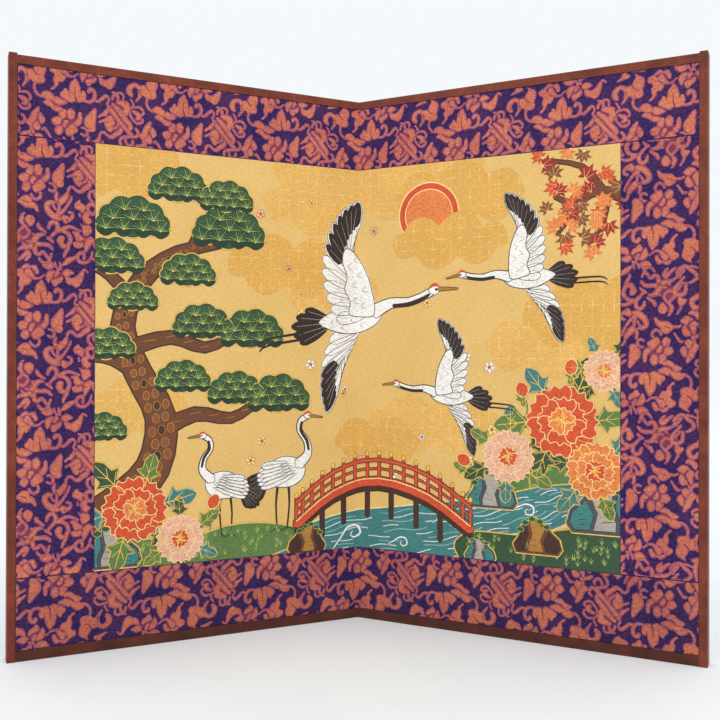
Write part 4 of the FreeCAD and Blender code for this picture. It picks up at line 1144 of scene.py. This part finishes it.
def flying_crane(drawing, centre, size, turn, mirror):
    """A crane with both wings spread."""
    drawing.set_down(centre, turn, size, mirror)
    for drop in (0, 4):
        legs = [(-38, -8 + drop, 1.6), (-62, -9 + drop, 1.4), (-68, -12 + drop, 0.8)]
        drawing.line(legs, "ink", 12)
    feathers(drawing, ((6, -2), (-3, -15), (-14, -26)), (188, 244), (22, 34), 8.5, 9, "white", 5, 4)
    feathers(drawing, ((-18, 3), (-20, 0), (-20, -3)), (158, 200), (18, 22), 7, 5, "ink", 6)
    body = [(-27, 1), (-14, 8), (2, 10), (14, 8), (20, 3), (14, -5), (0, -9), (-14, -7)]
    drawing.patch(body, "white", 7, "ink", 0.7)
    for place in ((-14, 0), (-8, 4), (-7, -4), (0, 0), (6, 4), (6, -4)):
        drawing.line([(place[0] - 2.4, place[1] + 1.4, 0.6), (place[0] - 4, place[1], 0.7),
                      (place[0] - 2.4, place[1] - 1.4, 0.6)], "grey", 9)
    feathers(drawing, ((10, 3), (7, 22), (0, 40)), (184, 72), (24, 38), 9.5, 13, "white", 8, 6)
    cover = [(13, 1), (14, 14), (11, 30), (4, 44), (-2, 46), (-5, 38), (-3, 28), (-6, 20), (-3, 12), (-5, 4),
             (3, 1)]
    drawing.patch(cover, "white", 11, "ink", 0.7)
    for place in ((6, 8), (1, 12), (8, 18), (2, 22), (6, 28), (0, 34), (5, 38)):
        drawing.line([(place[0] + 2, place[1] - 2, 0.6), (place[0] - 1.5, place[1], 0.8),
                      (place[0] + 1.6, place[1] + 2.4, 0.6)], "grey", 13)
    neck = [(13, 3, 9), (25, 6.5, 6.4), (37, 5.4, 5), (47, 7, 4.6), (54, 9, 5)]
    drawing.line(neck, "white", 9, "ink", 0.7)
    drawing.line([(27, 4.6, 2.6), (37, 3.8, 3), (46, 5.2, 3), (52, 7.4, 2)], "ink", 11)
    crane_head(drawing, 56, 9.6)
    drawing.set_down()


def standing_crane(drawing, centre, size, mirror):
    """A crane on both feet with folded wings."""
    drawing.set_down(centre, 0.0, size, mirror)
    for shift, knee in ((3, 1), (-7, -2)):
        drawing.line([(shift, 42, 3), (shift + knee, 22, 1.8), (shift - 1, 1, 1.7)], "ink", 5)
        for toe in (-8, -2, 7):
            drawing.line([(shift - 1, 1, 1.5), (shift + toe, -3, 0.8)], "ink", 5, cuts=1)
    feathers(drawing, ((-10, 54), (-16, 48), (-18, 44)), (200, 244), (30, 20), 8, 7, "ink", 6)
    body = [(-26, 46), (-18, 58), (-4, 66), (12, 64), (20, 55), (17, 44), (5, 37), (-12, 38)]
    drawing.patch(body, "white", 7, "ink", 0.7)
    feathers(drawing, ((12, 50), (8, 56), (2, 61)), (200, 190), (38, 26), 8.5, 6, "white", 8)
    neck = [(13, 58, 10), (22, 67, 7.4), (21, 79, 5.4), (14, 89, 4.6), (15, 98, 4.6), (21, 102, 5)]
    drawing.line(neck, "white", 9, "ink", 0.7)
    drawing.line([(23, 71, 2.6), (21, 80, 3.2), (15, 89, 3), (16, 97, 2.6)], "ink", 11)
    crane_head(drawing, 22, 102.5)
    drawing.set_down()


PETAL = [(0, -0.5), (0.42, -0.22), (0.64, 0.2), (0.46, 0.52), (0.2, 0.42), (0, 0.6), (-0.2, 0.42),
         (-0.46, 0.52), (-0.64, 0.2), (-0.42, -0.22)]


def peony(drawing, u, v, radius, outer, inner, start):
    """A full flower of three rings of notched petals round a heart of stamens."""
    rings = ((0.62, 0.74, 7, outer), (0.36, 0.6, 6, outer), (0.15, 0.42, 4, inner))
    for number, (out, size, count, name) in enumerate(rings):
        for petal in range(count):
            turn = start + 25 * number + 360 * petal / count
            place = around((u, v), turn, radius * out)
            drawing.set_down(place, turn - 90, radius * size)
            drawing.patch(PETAL, name, 10 + 2 * number, "pale_gold", 0.7)
            vein = "vermilion" if name == "rose" else "red"
            for lean in (-0.22, 0, 0.22):
                drawing.line([(lean * 0.4, -0.3, 0.05), (lean, 0.24, 0.03)], vein, 10 + 2 * number, cuts=1)
    drawing.set_down()
    for step in range(8):
        drawing.line(spoke((u, v), start + 45 * step, 0, radius * 0.2, 0.8, 1.2), "bright_gold", 16, cuts=1)


LEAF = [(0, 0), (0.16, 0.16), (0.3, 0.14), (0.46, 0.36), (0.54, 0.2), (0.78, 0.2), (1, 0), (0.78, -0.2),
        (0.54, -0.2), (0.46, -0.36), (0.3, -0.14), (0.16, -0.16)]


def leaf(drawing, u, v, turn, length, name="leaf_green"):
    """A lobed leaf with gilt veins."""
    drawing.set_down((u, v), turn, length)
    drawing.patch(LEAF, name, 8, "bright_gold", 0.6, 2)
    drawing.line([(0.05, 0, 0.035), (0.9, 0, 0.02)], "bright_gold", 10, cuts=1)
    for side in (-1, 1):
        drawing.line([(0.25, 0, 0.025), (0.44, 0.24 * side, 0.02)], "bright_gold", 10, cuts=1)
        drawing.line([(0.45, 0, 0.025), (0.66, 0.14 * side, 0.02)], "bright_gold", 10, cuts=1)
    drawing.set_down()


def flower_beds(drawing):
    """Peonies with their leaves and buds, on both sides of the stream."""
    blooms = [
        (180, 178, 28, "vermilion", "orange"), (136, 148, 21, "rose", "vermilion"),
        (206, 140, 22, "orange", "vermilion"), (-194, 108, 25, "vermilion", "orange"),
        (-158, 82, 19, "rose", "vermilion"), (213, 218, 16, "rose", "orange"),
    ]
    for number, (u, v, radius, outer, inner) in enumerate(blooms):
        for step in range(6):
            turn = 60 * step + 22 * number
            name = ("leaf_green", "pine_green", "teal")[(step + number) % 3]
            root = around((u, v), turn, radius * 0.7)
            leaf(drawing, *root, turn + 8, radius * (1.15 + 0.2 * (step % 2)), name)
    for number, (u, v, radius, outer, inner) in enumerate(blooms):
        peony(drawing, u, v, radius, outer, inner, 17 * number)
    for u, v, turn in ((150, 196, 110), (104, 140, 150), (-134, 104, 60), (186, 214, 80)):
        drawing.line([(u, v - 20, 1.2), (u + 2, v - 8, 1.3), (u, v, 1.4)], "leaf_green", 4)
        drawing.patch(moved([(0, 0), (5, 4), (5, 10), (0, 14), (-5, 10), (-5, 4)], (u, v), turn - 90),
                      "vermilion", 10, "pale_gold", 0.7)
        leaf(drawing, u, v - 8, turn, 18)


MAPLE = [(0, -0.16), (0.22, -0.34), (0.66, -0.46), (0.46, -0.06), (1, 0.24), (0.54, 0.3), (0.6, 0.74),
         (0.24, 0.5), (0, 1.08), (-0.24, 0.5), (-0.6, 0.74), (-0.54, 0.3), (-1, 0.24), (-0.46, -0.06),
         (-0.66, -0.46), (-0.22, -0.34)]


def maple(drawing):
    """Maple branches from the upper right, with autumn leaves."""
    branches = [
        [(232, 350, 9), (208, 358, 7), (190, 350, 5), (174, 356, 2.6)],
        [(212, 358, 5), (196, 378, 3.6), (166, 386, 2)],
        [(194, 350, 4), (184, 336, 2.8), (176, 326, 1.6)],
        [(216, 357, 4), (212, 334, 3), (202, 318, 1.8)],
    ]
    for points in branches:
        drawing.line(points, "brown", 3, "dark_brown", 0.8)
    for points in branches:
        for u, v, _ in along_curve(points, False, 2)[1:]:
            for side in (-1, 1):
                place = (u + chance.uniform(-8, 8), v + side * chance.uniform(3, 10))
                drawing.set_down(place, chance.uniform(0, 360), chance.uniform(7, 9.5))
                name = chance.choice(("vermilion", "orange", "red", "orange", "rust"))
                layer = 6 + chance.randrange(3)
                drawing.patch(MAPLE, name, layer, cuts=1)
                for lean in (-0.5, 0, 0.5):
                    vein = [(0, -0.4, 0.07), (lean, 0.6 - abs(lean) * 0.4, 0.05)]
                    drawing.line(vein, "pale_gold", layer, cuts=1)
    drawing.set_down()


def water(drawing):
    """A stream with broken lines along it, its banks, and a curl here and there."""
    stream = [(236, 122, 24), (190, 116, 30), (150, 102, 38), (100, 88, 44), (40, 76, 48), (-20, 68, 46),
              (-80, 58, 38), (-150, 50, 28)]
    drawing.line(stream, "teal", 1, "pale_gold", 1.0, 5)
    course = along_curve(stream, False, 12)
    for lane in range(-5, 6):
        side = []
        for number in range(1, len(course) - 1):
            u, v, wide = course[number]
            du = course[number + 1][0] - course[number - 1][0]
            dv = course[number + 1][1] - course[number - 1][1]
            length = math.hypot(du, dv)
            out = lane * wide / 12 + 1.1 * math.sin(number * 0.9 + lane)
            side.append((u - dv / length * out, v + du / length * out, 0.9))
        first = 2 + chance.randrange(4)
        while first < len(side) - 4:
            last = first + 4 + chance.randrange(8)
            drawing.line(side[first:last], "water" if lane % 2 else "white", 2, cuts=2)
            first = last + 2 + chance.randrange(3)
    curl = [(-16, -5, 0.8), (-8, 0, 1.4), (0, 5, 1.8), (7, 4, 1.8), (8, -2, 1.6), (3, -4, 1.4),
            (0.5, -1, 1.1), (3, 1, 0.8)]
    curls = ((86, 94, 0, 1), (-8, 74, 20, 1.2), (150, 106, -10, 0.9), (-52, 70, 10, 0.8), (40, 70, 0, 0.8))
    for u, v, turn, size in curls:
        drawing.set_down((u, v), turn, size)
        drawing.line(curl, "white", 3, "teal", 0.7)
    drawing.set_down()


def ground(drawing):
    """Mossy banks and faceted rocks beside the water."""
    banks = (
        ("leaf_green", [(-228, 58), (-228, 92), (-196, 88), (-160, 80), (-120, 90), (-84, 90), (-52, 82),
                        (-40, 72), (-70, 64), (-110, 56)]),
        ("leaf_green", [(228, 134), (200, 130), (160, 124), (118, 112), (96, 112), (110, 124), (140, 134),
                        (180, 146), (228, 154)]),
        ("pine_green", [(228, 58), (228, 100), (204, 97), (176, 92), (150, 86), (126, 86), (104, 85),
                        (90, 76), (92, 64), (110, 56)]),
    )
    for name, outline in banks:
        drawing.patch(outline, name, 5, "bright_gold", 1.0)
    tufts = ((-220, -60, 64, 84, 70), (100, 222, 64, 84, 76), (150, 222, 132, 142, 24))
    for low_u, high_u, low_v, high_v, count in tufts:
        for _ in range(count):
            u = chance.uniform(low_u, high_u)
            v = chance.uniform(low_v, high_v)
            for lean in (-1.8, 0, 1.8):
                drawing.line([(u, v, 0.9), (u + lean, v + 5 - abs(lean), 0.5)], "light_green", 6, cuts=1)
    rock = [(-22, 0), (-26, 10), (-20, 19), (-17, 30), (-9, 35), (-3, 40), (6, 34), (12, 30), (17, 24),
            (24, 18), (27, 7), (22, 0)]
    faces = (
        ("dark", [(-20, 3), (-24, 10), (-18, 19), (-15, 28), (-10, 32), (-8, 20), (-12, 10), (-11, 3)]),
        ("light", [(-9, 3), (-9.5, 10), (-5.5, 20), (-8, 33), (-3, 36), (5, 30), (9, 27), (4, 15), (7, 3)]),
        ("dark", [(9, 3), (6, 14), (11.5, 25), (16, 21), (22, 16), (24, 8), (20, 3)]),
    )
    tones = {"slate": {"dark": "teal", "light": "grey"}, "brown": {"dark": "dark_brown", "light": "old_gold"}}
    for u, v, size, name, mirror in (
        (122, 104, 0.85, "slate", 1), (212, 90, 1.1, "slate", -1), (160, 70, 0.8, "brown", 1),
        (-212, 62, 0.9, "slate", 1), (-48, 60, 0.7, "brown", -1), (112, 60, 0.55, "slate", 1),
    ):
        drawing.set_down((u, v), 0.0, size, mirror)
        drawing.patch(rock, name, 6, "bright_gold", 0.9, 1)
        for tone, face in faces:
            drawing.patch(face, tones[name][tone], 7, "ink", 0.5, 1)
            for number in range(3):
                start = between(face[0], face[3], 0.25 + 0.2 * number)
                end = between(face[-1], face[3], 0.2 + 0.2 * number)
                drawing.line([(*start, 0.5), (*between(start, end, 0.7), 0.8)], "ink", 8, cuts=1)
        for u_moss, v_moss in ((-5, 36), (-12, 32), (3, 34), (10, 29), (-17, 25)):
            cushion = arcs(oval((u_moss, v_moss), 8, 5.5, 6), 0.3, 3)
            drawing.patch(cushion, "pine_green", 8, "light_green", 0.6, 1)
    drawing.set_down()


def bridge(drawing):
    """A red arched bridge with rails, posts and gilt caps."""
    arch = [(-58, 86), (-24, 110), (20, 121), (66, 110), (104, 86)]

    def run(rise, wide):
        return [(u, v + rise, wide) for u, v in arch]

    drawing.line(run(-6, 4.5), "dark_brown", 6, "ink", 0.7)
    drawing.line(run(0, 8), "vermilion", 8, "ink", 0.8)
    drawing.line(run(2.4, 1.2), "pale_gold", 11)
    places = along_curve(arch, False, 4)
    for u, v in places[3:-3:2]:
        drawing.line([(u, v - 30, 4), (u, v - 8, 4)], "dark_brown", 5, "ink", 0.6, 1)
    for u, v in places:
        drawing.line([(u, v + 2, 2.4), (u, v + 22, 2.4)], "vermilion", 9, "ink", 0.6, 1)
        drawing.patch(oval((u, v + 24.5), 4.4, 5, 8), "bright_gold", 12, "ink", 0.6)
    drawing.line(run(11, 1.6), "vermilion", 9, "ink", 0.6)
    drawing.line(run(18.5, 3), "vermilion", 10, "ink", 0.6)


def sun_and_blossoms(drawing):
    """A low sun and drifting blossoms."""
    drawing.patch(oval((66, 350), 56, 56, 24), "vermilion", 2, "pale_gold", 1.2)
    drawing.patch(oval((66, 350), 44, 44, 24), "orange", 3, "pale_gold", 0.8)
    for _ in range(22):
        place = (chance.uniform(-100, 160), chance.uniform(120, 380))
        size = chance.uniform(2.6, 4.0)
        start = chance.uniform(0, 72)
        name = chance.choice(("white", "rose", "pale_gold"))
        for petal in range(5):
            root = around(place, start + 72 * petal, size * 0.75)
            drawing.patch(oval(root, size * 1.2, size * 1.2, 7), name, 4, "old_gold", 0.5, 1)
        drawing.patch(oval(place, size * 0.7, size * 0.7, 6), "vermilion", 5)


def cranes(drawing):
    """Three cranes in the air and two beside the water."""
    flying_crane(drawing, (-2, 262), 1.36, 8, 1)
    flying_crane(drawing, (150, 292), 0.95, 4, -1)
    flying_crane(drawing, (84, 196), 0.86, -2, -1)
    standing_crane(drawing, (-68, 84), 0.92, 1)
    standing_crane(drawing, (-122, 82), 0.8, -1)


DARK_SHARES = (0.8, 0.78, 0.76)
CLOUD_DARK_SHARES = (0.93, 0.92, 0.88)
LIGHT_SHARES = (1.1, 1.1, 1.12)
LIGHTEST = 250
LEAF_JOINT = (246, 218, 158)
threads = {}
for name, middle in THREADS.items():
    cloudy = name in ("cloud_gold", "deep_gold")
    dark = [channel * share for channel, share in zip(middle, CLOUD_DARK_SHARES if cloudy else DARK_SHARES)]
    light = [min(channel * share, LIGHTEST) for channel, share in zip(middle, LIGHT_SHARES)]
    threads[name] = woven(
        f"thread_{name}", (dark, middle, light), warp=0.9, weft=0.55, twill=0.6, mottle=0.9, sheen=0.04,
        roughness=(0.45, 0.62), bump=0.45, streak=0.45, leaf=LEAF_JOINT if cloudy else None,
    )

picture_box = (-PICTURE_SIDE, PICTURE_SIDE, PICTURE_LOW, PICTURE_HIGH)
base = bmesh.new()
slab(base, *picture_box, PICTURE_FRONT, FACE_BACK)
cut_at_fold(base)
for face in base.faces:
    # The side that is pasted down has the plain backing weave
    if face.calc_center_median().y > FACE_BACK - EDGE_ROUND / 2:
        face.material_index = 1
picture = finish_mesh("picture_silk", base, [gold_ground, edge_weave])
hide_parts("left_picture_half", "right_picture_half")
picture_pieces = [picture]
for motif in (sun_and_blossoms, clouds, water, ground, bridge, pine, maple, flower_beds, cranes):
    drawing = Drawing()
    motif(drawing)
    clip(drawing.bm, *picture_box)
    cut_at_fold(drawing.bm)
    names = [threads[name] for name in drawing.names]
    picture_pieces.append(finish_mesh(f"picture_{motif.__name__}", drawing.bm, names))
for piece in picture_pieces:
    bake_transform(piece)


# Back cloth and the cloth round the fold edges
TURN_CUTS = 4
WELD_DISTANCE = 1e-5


def fold_cloth(bm):
    """L-shaped cloth: across the fold edge and turned onto the back, with a rounded turn."""
    thick = CORE_FOLD - FOLD_EDGE
    section = [(FOLD_EDGE, FACE_BACK), (FOLD_EDGE, CLOTH_BACK - thick)]
    for step in range(1, TURN_CUTS):
        turn = math.pi / 2 * step / TURN_CUTS
        place = (FOLD_EDGE + thick * (1 - math.cos(turn)), CLOTH_BACK - thick * (1 - math.sin(turn)))
        section.append(place)
    section += [(CORE_FOLD, CLOTH_BACK), (RETURN_SIDE, CLOTH_BACK)]
    section += [(RETURN_SIDE, PAPER_BACK), (CORE_FOLD, PAPER_BACK), (CORE_FOLD, FACE_BACK)]
    rows = grid_places(CORE_LOW, CORE_HIGH, GRID_STEP, EDGE_ROUND)
    rings = [[bm.verts.new((u, t, z)) for u, t in section] for z in rows]
    count = len(section)
    for low, high in zip(rings, rings[1:]):
        for number in range(count):
            following = (number + 1) % count
            bm.faces.new((low[number], high[number], high[following], low[following]))
    bm.faces.new(rings[0])
    bm.faces.new(rings[-1][::-1])
    bmesh.ops.recalc_face_normals(bm, faces=bm.faces[:])
    return bm


for side, sign in (("left", -1), ("right", 1)):
    cloth_mesh = bmesh.new()
    # drawn as a slab that faces the back: front and back levels change places
    slab(cloth_mesh, RETURN_SIDE, FRAME_INNER, CORE_LOW, CORE_HIGH, PAPER_BACK, CLOTH_BACK, rounding=0.0)
    bmesh.ops.remove_doubles(cloth_mesh, verts=cloth_mesh.verts[:], dist=WELD_DISTANCE)
    cloth = finish_mesh(f"{side}_backing", cloth_mesh, [back_weave], sign)
    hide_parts(f"{side}_back_cloth")
    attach(cloth, f"{side}_panel")
    edge = finish_mesh(f"{side}_fold_cloth", fold_cloth(bmesh.new()), [edge_weave], sign)
    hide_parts(f"{side}_fold_edge_cloth")
    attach(edge, f"{side}_panel")

# Materials of the CAD nodes that stay
lacquer = frame_lacquer("frame_lacquer", colour(98, 38, 19), colour(134, 59, 36))
# The bottom rails get a darker copy of the same lacquer, as painted shade
painted_shade_lacquer = frame_lacquer("frame_lacquer_painted_shade", colour(62, 26, 18), colour(92, 42, 30))
steel = drawn_steel()
cedar_upright = plain_wood("cedar_upright", colour(176, 132, 92), colour(218, 180, 134))
cedar_across = plain_wood("cedar_across", colour(176, 132, 92), colour(218, 180, 134), grain=(0.06, 0.1, 1.0))
paper = layered_paper()
hinge_weave = woven("hinge_weave", ((184, 170, 138), (204, 190, 156), (224, 212, 182)), sheen=0.1)
NODE_MATERIALS = {
    "frame_stile": lacquer, "frame_top_rail": lacquer, "frame_bottom_rail": painted_shade_lacquer, "frame_pins": steel,
    "core_outer_stile": cedar_upright, "core_fold_stile": cedar_upright, "core_vertical_ribs": cedar_upright,
    "core_top_rail": cedar_across, "core_bottom_rail": cedar_across, "core_horizontal_ribs": cedar_across,
    "core_corner_boards": cedar_across, "front_paper": paper, "back_paper": paper, "hinge_leaf": hinge_weave,
}
for side in ("left", "right"):
    for node, material in NODE_MATERIALS.items():
        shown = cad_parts[f"{side}_{node}"]
        for place in shown.material_slots:
            place.material = material


# Floor, lights and world
def floor_material():
    """Pale paper with painted shade: a little greyer near the screen than far from it."""
    material, tree, shader = start_material("floor_paper", roughness=0.95, specular=0.05)
    place = object_place(tree)
    # painted shade: the floor grows lighter with distance from the screen
    far = spread(tree, add(tree, "VectorMath", {0: place}, operation="LENGTH").outputs["Value"], 0.5, 2.5)
    cloud = noise(tree, place, 6.0, 3.0)
    near = mix(tree, spread(tree, cloud, 0.3, 0.7), colour(236, 242, 246), colour(241, 247, 250))
    tree.links.new(mix(tree, far, near, colour(247, 250, 253)), shader.inputs["Base Color"])
    return material


FLOOR_REACH = 40.0
floor_mesh = bmesh.new()
floor_corners = [(-1, -1), (1, -1), (1, 1), (-1, 1)]
floor_mesh.faces.new([floor_mesh.verts.new((x * FLOOR_REACH, y * FLOOR_REACH, 0)) for x, y in floor_corners])
floor_data = bpy.data.meshes.new("floor")
floor_mesh.to_mesh(floor_data)
floor_mesh.free()
floor_data.materials.append(floor_material())
floor = add_object("floor", floor_data)


def area_light(name, place, target, size, power):
    """A square light that faces a target, its places and size in metres."""
    data = bpy.data.lights.new(name, "AREA")
    data.shape = "SQUARE"
    data.size = size
    data.energy = power
    made = add_object(name, data)
    made.location = place
    made.rotation_euler = (Vector(target) - Vector(place)).to_track_quat("-Z", "Y").to_euler()


area_light("key", (0.9, -1.5, 2.2), (0, 0, 0.3), 1.6, 12.6)
area_light("fill", (-1.4, -1.6, 1.2), (0, 0, 0.2), 1.6, 8.0)

world = bpy.data.worlds.new("studio")
world.use_nodes = True
bpy.context.scene.world = world
tree = world.node_tree
light = tree.nodes["Background"]
light.inputs["Color"].default_value = (1.0, 1.0, 1.0, 1.0)
light.inputs["Strength"].default_value = 1.0
seen = add(tree, "Background", {"Color": colour(245, 249, 252), "Strength": 1.0})
path = add(tree, "LightPath")
visible = maths(tree, "MAXIMUM", path.outputs["Is Camera Ray"], path.outputs["Is Glossy Ray"])
visible = maths(tree, "MAXIMUM", visible, path.outputs["Is Transmission Ray"])
both = add(tree, "MixShader", {0: visible, 1: light.outputs[0], 2: seen.outputs[0]})
tree.links.new(both.outputs[0], tree.nodes["World Output"].inputs["Surface"])

bpy.context.scene.view_settings.view_transform = "Standard"
